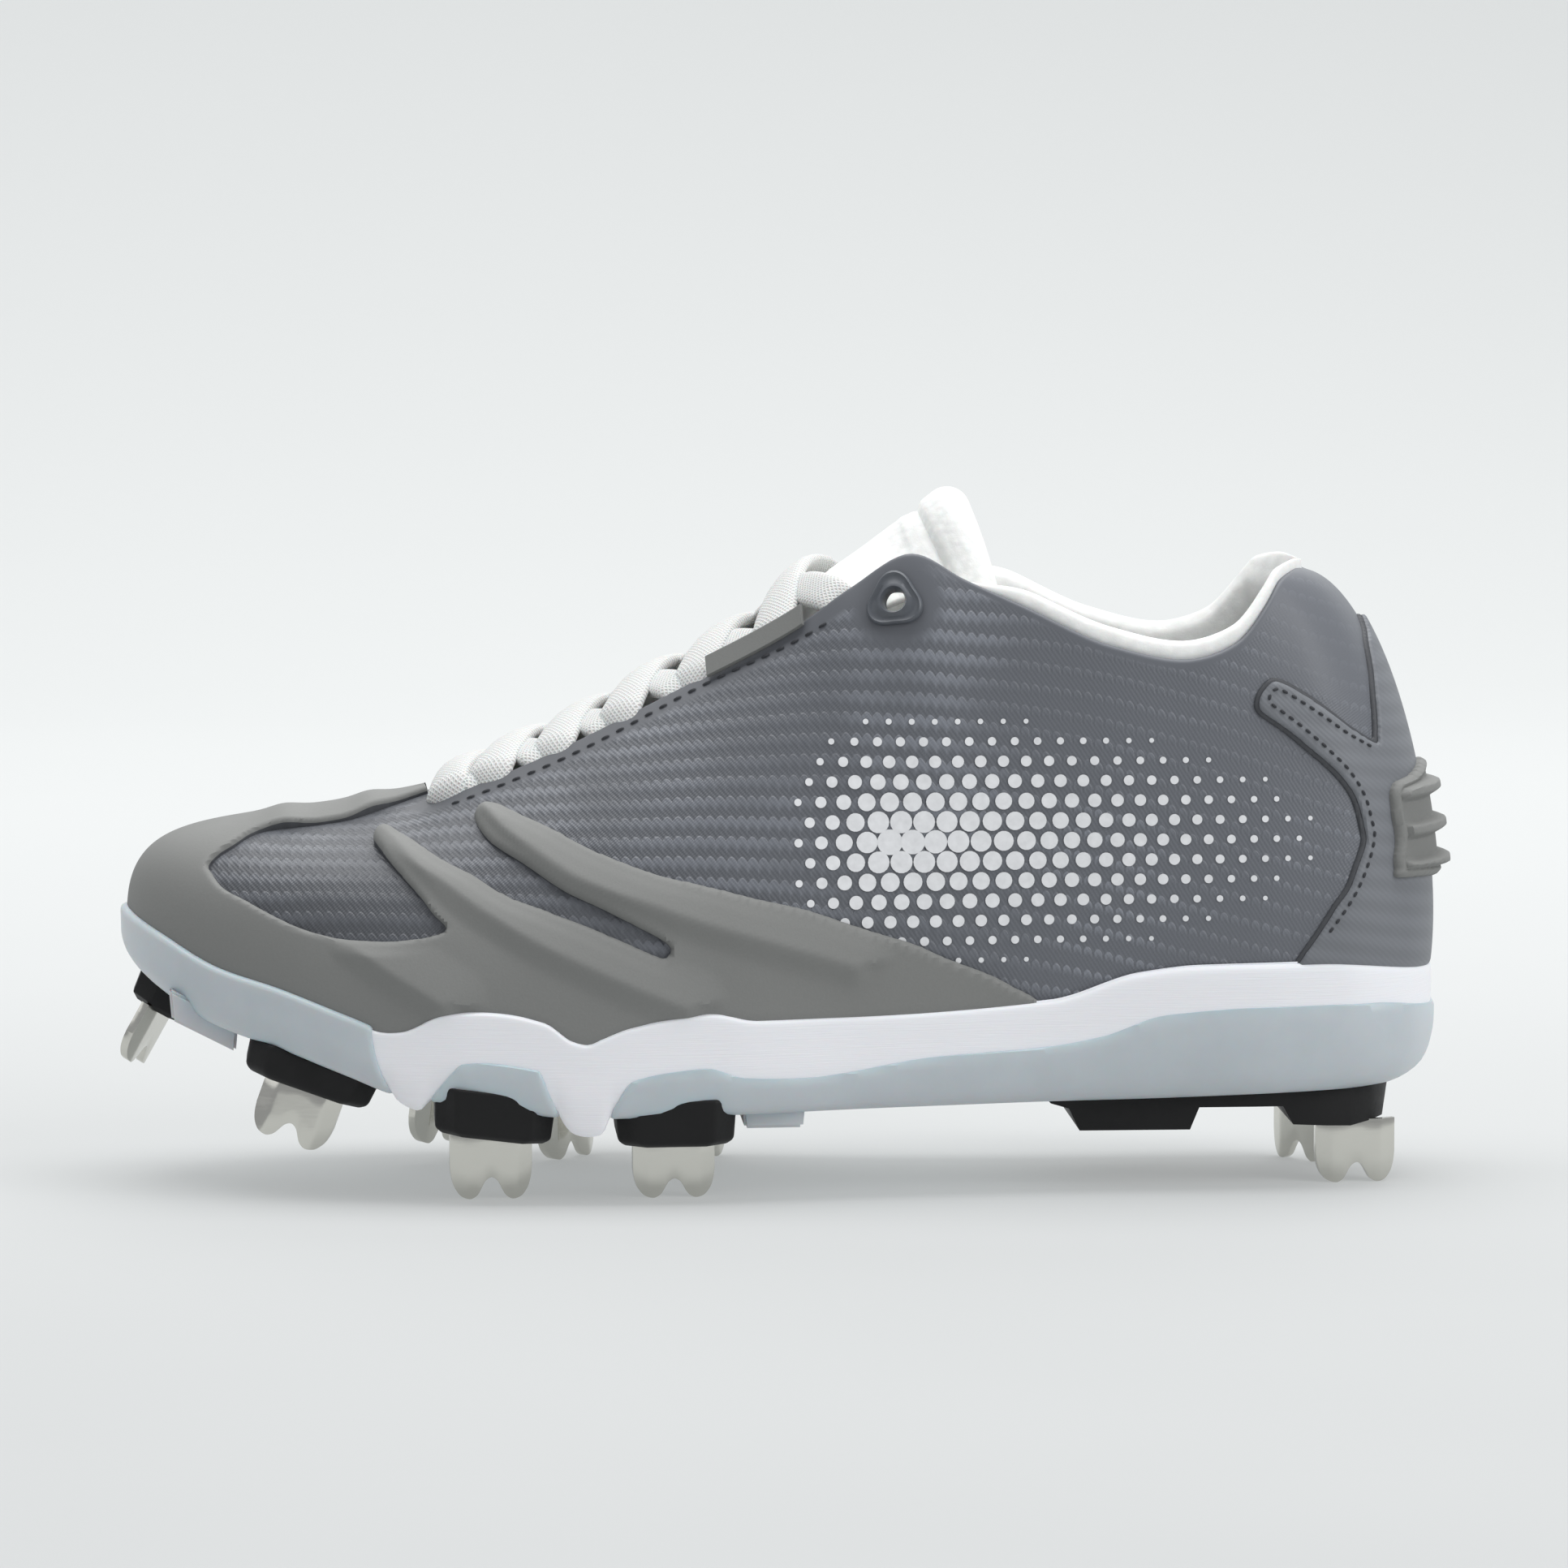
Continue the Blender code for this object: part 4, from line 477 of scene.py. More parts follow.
class SolePlan:
    """The sole's outline, walked by a ring place from 0 at the toe round to 1."""

    SAMPLES = 2400

    def __init__(self):
        turn = np.linspace(0, 1, self.SAMPLES)
        along = 0.5 - 0.5 * np.cos(np.pi * turn)
        self.halves = []
        walked = np.zeros_like(turn)
        for side, name in ((-1, "lateral"), (1, "medial")):
            keys = [math.acos(1 - 2 * row.along) / math.pi for row in OUTLINE]
            share = smooth_curve(keys, [getattr(row, name) for row in OUTLINE])(turn)
            points = np.stack([(along - 0.5) * SHOE_LENGTH, side * share * foot_width(along)], 1)
            steps = np.linalg.norm(np.diff(points, axis=0), axis=1)
            walked[1:] += np.cumsum(steps)
            self.halves.append(points)
        self.share = walked / walked[-1]
        self.half_length = 0.5 * walked[-1]

    def raw(self, ring):
        """Outline point at a ring place."""
        ring = np.mod(ring, 1.0)
        out = np.zeros(ring.shape + (2,))
        for index, half in enumerate((ring <= 0.5, ring > 0.5)):
            place = ring * 2 if index == 0 else 2 - ring * 2
            for axis in range(2):
                line = np.interp(place, self.share, self.halves[index][:, axis])
                out[..., axis] = np.where(half, line, out[..., axis])
        return out

    def point(self, ring, inset=0.0):
        """Outline point moved in by an inset, and the inward direction."""
        ring = np.asarray(ring, dtype=float)
        step = 0.006
        ahead = unit(self.raw(ring + step) - self.raw(ring - step))
        inward = np.stack([-ahead[..., 1], ahead[..., 0]], -1)
        return self.raw(ring) + inward * np.asarray(inset)[..., None], inward


PLAN = SolePlan()


def along_of(x):
    """Share of the length at an X."""
    return x / SHOE_LENGTH + 0.5


def around_of(ring):
    """Place from 0 at the toe to 1 at the heel, on either side."""
    ring = np.mod(ring, 1.0)
    return np.where(ring <= 0.5, 2 * ring, 2 - 2 * ring)


def rib_points(ring, rise):
    """Outer surface of the upper: a rib at each ring place, read at each rise from 0 to 1."""
    ring = np.asarray(ring, dtype=float)
    around = around_of(ring)
    side = np.where(np.mod(ring, 1.0) <= 0.5, -1.0, 1.0)
    foot, inward = PLAN.point(ring, RIM_LEAN_START)
    floor = footbed_height(along_of(foot[..., 0])) + PART_GAP
    start = np.concatenate([foot, floor[..., None]], -1)
    centre = BALL_WIDTH * TOE_CENTRE * (1 - blend(0.25, 0.75, TOP["along"](around)))
    half = BALL_WIDTH * TOP["ball"](around) + HEEL_WIDTH * TOP["heel"](around)
    height = INSTEP_HEIGHT * TOP["instep"](around) + HEEL_HEIGHT * TOP["height"](around)
    end = np.stack([(TOP["along"](around) - 0.5) * SHOE_LENGTH, centre + side * half, height], -1)
    tall = (end - start)[..., 2]
    low = start.copy()
    low[..., :2] -= inward * (RIB["lean"](around) * BALL_WIDTH)[..., None]
    low[..., 2] += RIB["rise"](around) * tall
    high = end.copy()
    high[..., :2] += (start - end)[..., :2] * RIB["reach"](around)[..., None]
    high[..., 2] -= RIB["drop"](around) * tall
    part = np.asarray(rise, dtype=float)[..., None]
    rest = 1 - part
    return (start * rest ** 3 + low * (3 * rest ** 2 * part)
            + high * (3 * rest * part ** 2) + end * part ** 3)


def upper_normal(ring, rise):
    """Outward direction of the upper's surface."""
    step = 0.004
    across = rib_points(ring + step, rise) - rib_points(ring - step, rise)
    upward = rib_points(ring, rise + step) - rib_points(ring, np.maximum(rise - step, 0))
    return unit(np.cross(across, upward))


def upper_surface(ring, rise, offset=0.0):
    """Point of the upper's outer surface, moved out along its normal."""
    ring, rise = np.broadcast_arrays(np.asarray(ring, dtype=float), np.asarray(rise, dtype=float))
    return rib_points(ring, rise) + upper_normal(ring, rise) * np.asarray(offset)[..., None]


def rise_at_height(ring, height):
    """How far up its rib the upper reaches a height, low on the rib."""
    rises = np.linspace(0, 0.6, 61)
    heights = rib_points(np.asarray(ring)[:, None], rises[None, :])[..., 2]
    return np.array([np.interp(level, line, rises) for level, line in zip(height, heights)])


def tongue_point(around, part):
    """Outer face of the tongue at a place round the top edge and a part across it."""
    around = np.asarray(around, dtype=float)
    tuck = UPPER_WALL + PART_GAP + 0.0004 + (COLLAR_PAD + 4 * PART_GAP) * blend(0.56, 0.60, around)
    depth = TONGUE_CURVES["depth"](around)
    ends = [upper_surface(0.5 * around, depth, -tuck), upper_surface(1 - 0.5 * around, depth, -tuck)]
    handles = []
    for end, sign in zip(ends, (1, -1)):
        reach = np.stack([-TONGUE_CURVES["forward"](around), sign * TONGUE_CURVES["inward"](around),
                          TONGUE_CURVES["up"](around)], -1)
        handles.append(end + INSTEP_HEIGHT * reach)
    part = np.asarray(part, dtype=float)[..., None]
    rest = 1 - part
    return (ends[0] * rest ** 3 + handles[0] * 3 * rest ** 2 * part
            + handles[1] * 3 * rest * part ** 2 + ends[1] * part ** 3)


def rounded_path(points, steps=8, closed=True):
    """Points of a smooth curve through the given ones."""
    points = np.asarray(points, dtype=float)
    count = len(points)
    spans = count if closed else count - 1
    out = []
    for span in range(spans):
        picks = [span - 1, span, span + 1, span + 2]
        if closed:
            picks = [pick % count for pick in picks]
        else:
            picks = [min(max(pick, 0), count - 1) for pick in picks]
        a, b, c, d = points[picks]
        for step in range(steps):
            t = step / steps
            out.append(0.5 * (2 * b + (c - a) * t + (2 * a - 5 * b + 4 * c - d) * t ** 2
                              + (3 * b - a - 3 * c + d) * t ** 3))
    if not closed:
        out.append(points[-1])
    return np.array(out)


def inside(polygon, xs, ys):
    """Which points lie inside a closed outline."""
    result = np.zeros(xs.shape, dtype=bool)
    before = polygon[-1]
    for here in polygon:
        if here[1] != before[1]:
            crosses = (here[1] > ys) != (before[1] > ys)
            line = (before[0] - here[0]) * (ys - here[1]) / (before[1] - here[1]) + here[0]
            result ^= crosses & (xs < line)
        before = here
    return result


def tree_of(points):
    """A search tree over points."""
    tree = KDTree(len(points))
    for index, point in enumerate(points):
        tree.insert(point, index)
    tree.balance()
    return tree


def distances(tree, points):
    """Distance of each point to the nearest in a tree."""
    flat = points.reshape(-1, 3)
    found = np.array([tree.find(point)[2] for point in flat])
    return found.reshape(points.shape[:-1])


def edge_field(outline, rings, rises):
    """Distance in metres to an outline on the upper, above zero inside it."""
    path = rounded_path(outline, 10)
    dense = []
    for before, after in zip(path, np.roll(path, -1, axis=0)):
        for step in range(3):
            dense.append(before + (after - before) * step / 3)
    dense = np.array(dense)
    dense = dense[(dense[:, 0] > 0.0) & (dense[:, 0] < 0.5)]
    heights = np.clip(dense[:, 1], -0.05, 1.06)
    tree = tree_of(np.concatenate([rib_points(dense[:, 0], heights),
                                   rib_points(1 - dense[:, 0], heights)]))
    signed = 0.5 * around_of(rings)
    within = inside(path, signed, rises)
    far = distances(tree, rib_points(rings, rises))
    return np.where(within, far, -far)


def clipped_grid(columns, rows, field, traits):
    """Cut a grid of vertices where its field falls below zero.

    Returns the traits of the vertices in use, the faces and the edges of the cut.
    """
    values = field.reshape(-1)
    flags = values >= 0
    cuts = {}
    extra = []

    def crossing(one, two):
        key = (min(one, two), max(one, two))
        if key not in cuts:
            share = values[one] / (values[one] - values[two])
            extra.append(traits[one] + (traits[two] - traits[one]) * share)
            cuts[key] = len(values) + len(extra) - 1
        return cuts[key]

    faces = []
    for i in range(columns - 1):
        for j in range(rows - 1):
            corner = i * rows + j
            quad = (corner, corner + rows, corner + rows + 1, corner + 1)
            kept = [flags[index] for index in quad]
            if all(kept):
                faces.append(quad)
            elif any(kept):
                face = []
                for here, after in zip(quad, quad[1:] + quad[:1]):
                    if flags[here]:
                        face.append(here)
                    if flags[here] != flags[after]:
                        face.append(crossing(here, after))
                if len(face) > 2:
                    faces.append(tuple(face))
    every = np.concatenate([traits, np.array(extra)]) if extra else traits
    used = sorted({index for face in faces for index in face})
    number = {index: place for place, index in enumerate(used)}
    edges = {(here, after) for face in faces for here, after in zip(face, face[1:] + face[:1])}
    border = [(number[a], number[b]) for a, b in edges
              if (b, a) not in edges and a >= len(values) and b >= len(values)]
    faces = [tuple(number[index] for index in face) for face in faces]
    return every[used], faces, border


def smooth_piece(name, mesh, finish, sharp):
    """Link a mesh as a smooth piece of one finish that rides on the shoe's body."""
    mesh.materials.append(finish_of(finish))
    mesh.shade_smooth()
    mesh.set_sharp_from_angle(angle=math.radians(sharp))
    item = bpy.data.objects.new(name, mesh)
    bpy.context.scene.collection.objects.link(item)
    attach(item, "root")
    return item


def mesh_piece(name, points, faces, finish, uvs=None, sharp=40, calm=None):
    """Make a piece from points and faces, in the part's frame."""
    mesh = bpy.data.meshes.new(name)
    mesh.from_pydata((np.asarray(points, dtype=float) + PLACE).tolist(), [], faces)
    mesh.update()
    if uvs is not None:
        layer = mesh.uv_layers.new(name="cloth")
        loops = np.zeros(len(mesh.loops), dtype=np.int32)
        mesh.loops.foreach_get("vertex_index", loops)
        layer.data.foreach_set("uv", np.asarray(uvs, dtype=np.float32)[loops].ravel())
    if calm is not None:
        layer = mesh.attributes.new("calm", "FLOAT", "POINT")
        layer.data.foreach_set("value", np.asarray(calm, dtype=np.float32))
    return smooth_piece(name, mesh, finish, sharp)


def worked_piece(name, work, finish):
    """Make a piece from a bmesh and free that."""
    mesh = bpy.data.meshes.new(name)
    work.to_mesh(mesh)
    work.free()
    return smooth_piece(name, mesh, finish, 35)


def grid_faces(columns, rows, wrap_rows=False, start=0):
    """Faces of a grid of vertices that is stored column by column."""
    faces = []
    for i in range(columns - 1):
        for j in range(rows if wrap_rows else rows - 1):
            here, above = [start + i * rows + row for row in (j, (j + 1) % rows)]
            faces.append((here, here + rows, above + rows, above))
    return faces


def tube_faces(columns, rows, start=0):
    """Faces of a closed tube: its wall and its two ends."""
    last = start + (columns - 1) * rows
    return grid_faces(columns, rows, True, start) + [
        tuple(range(start, start + rows)), tuple(reversed(range(last, last + rows)))]


def cloth_coordinates(rings, rises):
    """Distances in millimetres along the shoe and up its side, for the weave."""
    here = rib_points(rings, rises)
    foot = rib_points(rings, 0 * rises)
    inward = np.linalg.norm((here - foot)[..., :2], axis=-1)
    return np.stack([here[..., 0] * 1000, (here[..., 2] + 0.45 * inward) * 1000], -1)


def patch(name, grid, field, lift, finish, under=-0.0002, flip=False, wall=None, calm=None):
    """A skin over a grid of places, cut along its field, raised by lift, with side walls.

    The grid holds places, outward directions, cloth coordinates, ring and rise.
    """
    columns, rows = grid.shape[:2]
    traits, faces, border = clipped_grid(columns, rows, field, grid.reshape(columns * rows, -1))
    places, out, cloth, spots = traits[:, :3], traits[:, 3:6], traits[:, 6:8], traits[:, 8:]
    far = np.full(len(places), 1.0)
    if border:
        rims = sorted({index for edge in border for index in edge})
        far = distances(tree_of(places[rims]), places)
    points = places + out * lift(far, spots)[:, None]
    still = None if calm is None else calm(places, spots)
    if flip:
        faces = [tuple(reversed(face)) for face in faces]
        border = [(b, a) for a, b in border]
    if border:
        lower = {index: len(points) + place for place, index in enumerate(rims)}
        faces += [(b, a, lower[a], lower[b]) for a, b in border]
        points = np.concatenate([points, places[rims] + out[rims] * under])
        cloth = np.concatenate([cloth, cloth[rims]])
        still = None if still is None else np.concatenate([still, still[rims]])
    item = mesh_piece(name, points, faces, finish, cloth, calm=still)
    if wall is not None:
        item.data.materials.append(finish_of(wall))
        for face in item.data.polygons[len(faces) - len(border):]:
            face.material_index = 1
    return item


def upper_patch_grid(rings, rises):
    """Grid over the upper with all that a patch needs."""
    first, second = np.meshgrid(rings, rises, indexing="ij")
    return np.concatenate([rib_points(first, second), upper_normal(first, second),
                           cloth_coordinates(first, second), first[..., None],
                           second[..., None]], -1)


def flat(far, spots):
    """The lift of a patch that follows its grid."""
    return 0 * far


def rounded_step(far, thickness, radius, start=0.35):
    """Thickness near an edge that is rounded over a radius."""
    rest = 1 - np.clip(far / radius, 0, 1)
    return thickness * (start + (1 - start) * np.sqrt(1 - rest ** 2))


def tone(red, green, blue):
    """Linear colour of a display colour from 0 to 255."""
    out = []
    for value in (red, green, blue):
        part = value / 255
        out.append(part / 12.92 if part <= 0.04045 else ((part + 0.055) / 1.055) ** 2.4)
    return tuple(out)


class Finish:
    """A node material under work, with short ways to add nodes to it."""

    def __init__(self, name, colour, roughness, metallic=0.0):
        self.base = colour
        self.material = bpy.data.materials.new(name)
        self.material.use_nodes = True
        self.tree = self.material.node_tree
        self.shader = self.tree.nodes["Principled BSDF"]
        self.shader.inputs["Base Color"].default_value = (*colour, 1.0)
        self.shader.inputs["Roughness"].default_value = roughness
        self.shader.inputs["Metallic"].default_value = metallic
        self.material.diffuse_color = (*colour, 1.0)

    def put(self, socket, value):
        """Set a socket to a value or link it."""
        if isinstance(value, bpy.types.NodeSocket):
            self.tree.links.new(value, socket)
        else:
            socket.default_value = value

    def node(self, kind, inputs=(), **settings):
        """Add a node with its settings and inputs."""
        made = self.tree.nodes.new(kind)
        for key, value in settings.items():
            setattr(made, key, value)
        for key, value in dict(inputs).items():
            self.put(made.inputs[key], value)
        return made

    def sum(self, operation, *values, clamp=False):
        """Add a Math node."""
        made = self.node("ShaderNodeMath", enumerate(values), operation=operation,
                         use_clamp=clamp)
        return made.outputs[0]

    def plus(self, first, second, clamp=False):
        """Add two values."""
        return self.sum("ADD", first, second, clamp=clamp)

    def less(self, first, second):
        """Take the second value from the first."""
        return self.sum("SUBTRACT", first, second)

    def times(self, first, second):
        """Multiply two values."""
        return self.sum("MULTIPLY", first, second)

    def wave(self, value, length):
        """A sine that repeats after a length."""
        return self.sum("SINE", self.times(value, 2 * math.pi / length))

    def spread(self, value, low, high, to_low=0.0, to_high=1.0):
        """Map a value from one range to another, softly and clamped."""
        made = self.node("ShaderNodeMapRange", {0: value, 1: low, 2: high, 3: to_low, 4: to_high},
                         interpolation_type="SMOOTHSTEP")
        return made.outputs[0]

    def noise(self, vector, scale, detail=2.0, roughness=0.5):
        """Add a noise texture and return its value."""
        made = self.node("ShaderNodeTexNoise", {"Vector": vector, "Scale": scale,
                                                "Detail": detail, "Roughness": roughness})
        return made.outputs["Fac"]

    def place(self):
        """Object coordinates in metres."""
        return self.node("ShaderNodeTexCoord").outputs["Object"]

    def split(self, vector):
        """The three parts of a vector."""
        return self.node("ShaderNodeSeparateXYZ", {0: vector}).outputs

    def cloth(self):
        """The two cloth coordinates in millimetres."""
        return self.split(self.node("ShaderNodeUVMap", uv_map="cloth").outputs[0])[:2]

    def mix(self, factor, first, second):
        """Mix two colours."""
        made = self.node("ShaderNodeMix", {0: factor}, data_type="RGBA")
        for index, value in ((6, first), (7, second)):
            self.put(made.inputs[index], value if isinstance(value, bpy.types.NodeSocket)
                     else (*value, 1.0))
        return made.outputs[2]

    def colour(self, value):
        """Link the base colour."""
        self.put(self.shader.inputs["Base Color"], value)

    def shade(self, factor, low, high):
        """Link a colour between a darker and a lighter version of the base colour."""
        self.colour(self.mix(factor, *shades(self.base, low, high)))

    def rough(self, value):
        """Link the roughness."""
        self.put(self.shader.inputs["Roughness"], value)

    def bump(self, height, strength, distance):
        """Add a bump and link it to the shader's normal."""
        made = self.node("ShaderNodeBump", {"Height": height, "Strength": strength,
                                            "Distance": distance})
        self.put(self.shader.inputs["Normal"], made.outputs[0])

    def gloss(self, **values):
        """Set constant sockets of the shader by name."""
        for key, value in values.items():
            name = key.replace("_", " ").title().replace("Ior", "IOR")
            self.shader.inputs[name].default_value = value


def shades(colour, *factors):
    """Darker and lighter versions of a colour."""
    return [tuple(min(1.0, part * factor) for part in colour) for factor in factors]


def woven_cloth(name, base):
    """Grey upper cloth embossed with jagged slanted bands of fine braid, with painted highlights."""
    made = Finish(name, base, 0.42)
    across, up = made.cloth()
    where = made.place()
    along, _, high = made.split(where)
    slope = made.sum("MULTIPLY_ADD", across, 0.0008, 0.12)
    waver = made.times(made.noise(where, 20.0, 1.0), 2.4)
    level = made.plus(made.plus(up, made.times(across, slope)), waver)
    arch = made.sum("ABSOLUTE", made.wave(across, 2000 * sizes().weave_tooth))
    jagged = made.less(level, made.times(arch, 1.15))
    phase = made.sum("FRACT", made.sum("DIVIDE", jagged, 1000 * sizes().weave_pitch))
    beaded = made.spread(along, 0.030, 0.062)
    foot = made.sum("MULTIPLY_ADD", beaded, 0.28, 0.22)
    band = made.times(made.spread(phase, foot, made.plus(foot, 0.48)),
                      made.spread(phase, 0.99, 0.90))
    round_off = made.times(beaded, made.spread(arch, 0.62, 0.15))
    band = made.times(band, made.less(1.0, round_off))
    floats = made.wave(made.plus(across, made.times(level, 0.75)), 1.15)
    threads = made.wave(made.less(across, level), 0.75)
    weave = made.plus(made.times(floats, 0.28), made.times(threads, 0.25))
    smooth_heel = made.times(made.spread(along, 0.085, 0.112), made.spread(high, 0.098, 0.116))
    calm = made.node("ShaderNodeAttribute", attribute_name="calm").outputs["Fac"]
    still = made.sum("MAXIMUM", made.times(smooth_heel, 0.85), calm)
    strength = made.less(1.0, still)
    # Painted highlights: the bands are painted lighter in cloudy patches, as light catching the
    # embossing.
    cloud = made.noise(where, 26.0, 2.0)
    shown = made.times(made.spread(cloud, 0.36, 0.60, 0.20, 1.0), strength)
    painted_band_light = made.times(made.plus(made.times(band, 0.80), made.times(weave, 0.16), clamp=True),
                     shown)
    # Painted light and shade: darker towards the toe and much lighter towards the heel, where more
    # light falls.
    toe, heel = [made.mix(painted_band_light, *shades(base, *pair)) for pair in ((0.58, 0.98), (1.08, 2.15))]
    made.colour(made.mix(made.spread(along, -0.115, 0.100), toe, heel))
    made.rough(made.spread(painted_band_light, 0.0, 1.0, 0.48, 0.36))
    relief = made.times(made.plus(band, made.times(weave, 0.45)), strength)
    made.bump(relief, 0.55, 0.00030)
    made.gloss(sheen_weight=0.06, sheen_roughness=0.4)
    return made.material


def soft_rubber(name, base, roughness):
    """Matt moulded rubber with a fine grain."""
    made = Finish(name, base, roughness)
    where = made.place()
    grain = made.noise(where, 1900.0, 2.0)
    cloud = made.noise(where, 45.0, 3.0)
    made.shade(made.plus(made.times(grain, 0.5), made.times(cloud, 0.5)), 0.90, 1.10)
    made.rough(made.spread(cloud, 0.3, 0.7, roughness - 0.06, roughness + 0.06))
    made.bump(grain, 0.25, 0.00012)
    return made.material


def counter_look(name, base):
    """Grey heel film with a faint slanted embossing."""
    made = Finish(name, base, 0.55)
    across, up = made.cloth()
    fine = made.wave(made.plus(across, up), 1.3)
    wide = made.wave(made.plus(made.times(across, 0.2), up), 5.0)
    height = made.plus(made.times(fine, 0.25), made.times(wide, 0.5))
    made.shade(made.spread(height, -0.7, 0.7), 0.93, 1.07)
    made.bump(height, 0.25, 0.0002)
    return made.material


def foam(name, base):
    """White midsole with fine brushing along its length."""
    made = Finish(name, base, 0.5)
    across, up = made.cloth()
    vector = made.node("ShaderNodeCombineXYZ", {0: made.times(across, 0.02), 1: up}).outputs[0]
    brush = made.noise(vector, 3.2, 3.0, 0.7)
    made.shade(brush, 0.95, 1.0)
    made.bump(brush, 0.35, 0.00025)
    made.gloss(subsurface_weight=0.08, subsurface_scale=0.004)
    return made.material


def clear_rubber(name, base):
    """Translucent grey-blue outsole rubber."""
    made = Finish(name, base, 0.38)
    where = made.place()
    cloud = made.noise(where, 60.0, 4.0, 0.6)
    made.shade(cloud, 0.90, 1.08)
    made.rough(made.spread(cloud, 0.3, 0.7, 0.34, 0.46))
    made.bump(made.noise(where, 900.0, 2.0), 0.10, 0.0001)
    made.gloss(subsurface_weight=0.35, subsurface_scale=0.012)
    return made.material


def knit(name, base, pitch):
    """Soft white knitted textile."""
    made = Finish(name, base, 0.9)
    where = made.place()
    cells = made.node("ShaderNodeTexVoronoi", {"Vector": where, "Scale": 1 / pitch},
                      feature="SMOOTH_F1").outputs["Distance"]
    fuzz = made.noise(where, 1400.0, 3.0, 0.7)
    height = made.plus(made.times(cells, -0.8), made.times(fuzz, 0.4))
    made.shade(made.spread(height, -0.6, 0.3), 0.90, 1.03)
    made.bump(height, 0.4, 0.0004)
    made.gloss(sheen_weight=0.35, sheen_roughness=0.5, subsurface_weight=0.1,
               subsurface_scale=0.002)
    return made.material


def lace_cloth(name, base):
    """Braided white lace: crossing slanted threads along its length."""
    made = Finish(name, base, 0.85)
    along, across = made.cloth()
    height = made.sum("MAXIMUM", made.wave(made.plus(along, across), 1.1),
                      made.wave(made.less(along, across), 1.1))
    made.shade(made.spread(height, -0.4, 0.9), 0.70, 0.86)
    made.bump(height, 0.5, 0.0003)
    made.gloss(sheen_weight=0.3, subsurface_weight=0.1, subsurface_scale=0.002)
    return made.material


def hard_plastic(name, base):
    """Black moulded stud plastic."""
    made = Finish(name, base, 0.5)
    where = made.place()
    wear = made.noise(where, 90.0, 4.0, 0.7)
    made.shade(wear, 0.8, 1.3)
    made.rough(made.spread(wear, 0.3, 0.7, 0.46, 0.62))
    made.bump(made.noise(where, 700.0, 3.0, 0.6), 0.22, 0.0002)
    made.gloss(specular_ior_level=0.3)
    return made.material


def stud_steel(name, base):
    """Nickel plated blade steel with fine drawn lines."""
    made = Finish(name, base, 0.24, 1.0)
    stretched = made.node("ShaderNodeMapping", {"Vector": made.place(), "Scale": (1.0, 1.0, 9.0)})
    lines = made.noise(stretched.outputs[0], 190.0, 3.0, 0.6)
    made.shade(lines, 0.98, 1.03)
    made.rough(made.spread(lines, 0.3, 0.7, 0.12, 0.18))
    return made.material


def plain(name, base, roughness):
    """A small trim finish with slight mottling."""
    made = Finish(name, base, roughness)
    cloud = made.noise(made.place(), 600.0, 2.0)
    made.shade(cloud, 0.85, 1.12)
    made.bump(cloud, 0.15, 0.0001)
    return made.material


def length_of(name, description, default):
    """A length that a user may change."""
    return bpy.props.FloatProperty(name=name, description=description, default=default,
                                   unit="LENGTH")


def colour_of(name, description, default):
    """A colour that a user may change."""
    return bpy.props.FloatVectorProperty(name=name, description=description, subtype="COLOR",
                                         size=3, min=0, max=1, default=default)


class ShoeSizes(bpy.types.PropertyGroup):
    """Sizes that a user may change."""

    weave_pitch: length_of("Weave pitch", "Height of one embossed band of the upper", 0.0051)
    weave_tooth: length_of("Weave tooth", "Length of one tooth of a band's edge", 0.0023)
    ridge_height: length_of("Ridge height", "Height of the ridges on the toe overlay", 0.0021)
    stitch_length: length_of("Stitch length", "Length of one visible stitch", 0.0020)
    stitch_step: length_of("Stitch step", "Distance from stitch to stitch", 0.0036)
    lace_width: length_of("Lace width", "Width of the flat lace", 0.0122)
    lace_thickness: length_of("Lace thickness", "Thickness of the lace", 0.0034)
    dot_step: length_of("Dot step", "Distance between printed dots", 0.0050)


class ShoeColours(bpy.types.PropertyGroup):
    """Colours that a user may change."""

    cloth: colour_of("Cloth", "Woven upper", tone(97, 100, 106))
    overlay: colour_of("Overlay", "Toe overlay rubber", tone(123, 124, 122))
    counter: colour_of("Counter", "Heel counter film", tone(113, 116, 121))
    midsole: colour_of("Midsole", "White foam band", tone(243, 243, 247))
    outsole: colour_of("Outsole", "Translucent rubber", tone(190, 198, 203))
    textile: colour_of("Textile", "Tongue, lining and laces", tone(236, 237, 235))
    plastic: colour_of("Plastic", "Stud pads", tone(15, 15, 16))
    steel: colour_of("Steel", "Stud blades", tone(206, 205, 198))


# Maker of each finish, its colour or the name of the colour that a user may change, and more
FINISHES = {
    "woven_cloth": (woven_cloth, "cloth"),
    "overlay_skin": (soft_rubber, "overlay", 0.70),
    "counter_look": (counter_look, "counter"),
    "foam_look": (foam, "midsole"),
    "rubber_look": (clear_rubber, "outsole"),
    "tongue_knit": (knit, "textile", 0.0016),
    "lining_mesh": (knit, "textile", 0.0024),
    "lace_cloth": (lace_cloth, "textile"),
    "stud_plastic": (hard_plastic, "plastic"),
    "stud_steel": (stud_steel, "steel"),
    "thread_dark": (plain, tone(52, 54, 58), 0.8),
    "eyelet_gloss": (plain, tone(84, 88, 94), 0.38),
    "print_white": (plain, tone(226, 227, 229), 0.6),
    # Dark side walls of the overlays, painted as a shadow line under their edges, and a dark band
    # round the counter
    "edge_dark": (plain, tone(66, 68, 72), 0.6),
}


def sizes():
    """The sizes in use."""
    return bpy.context.scene.cleat_sizes


def finish_of(name):
    """A finish by its name, made once."""
    found = bpy.data.materials.get(name)
    if found is None:
        maker, colour, *more = FINISHES[name]
        if isinstance(colour, str):
            colour = tuple(getattr(bpy.context.scene.cleat_colours, colour))
        found = maker(name, colour, *more)
    return found


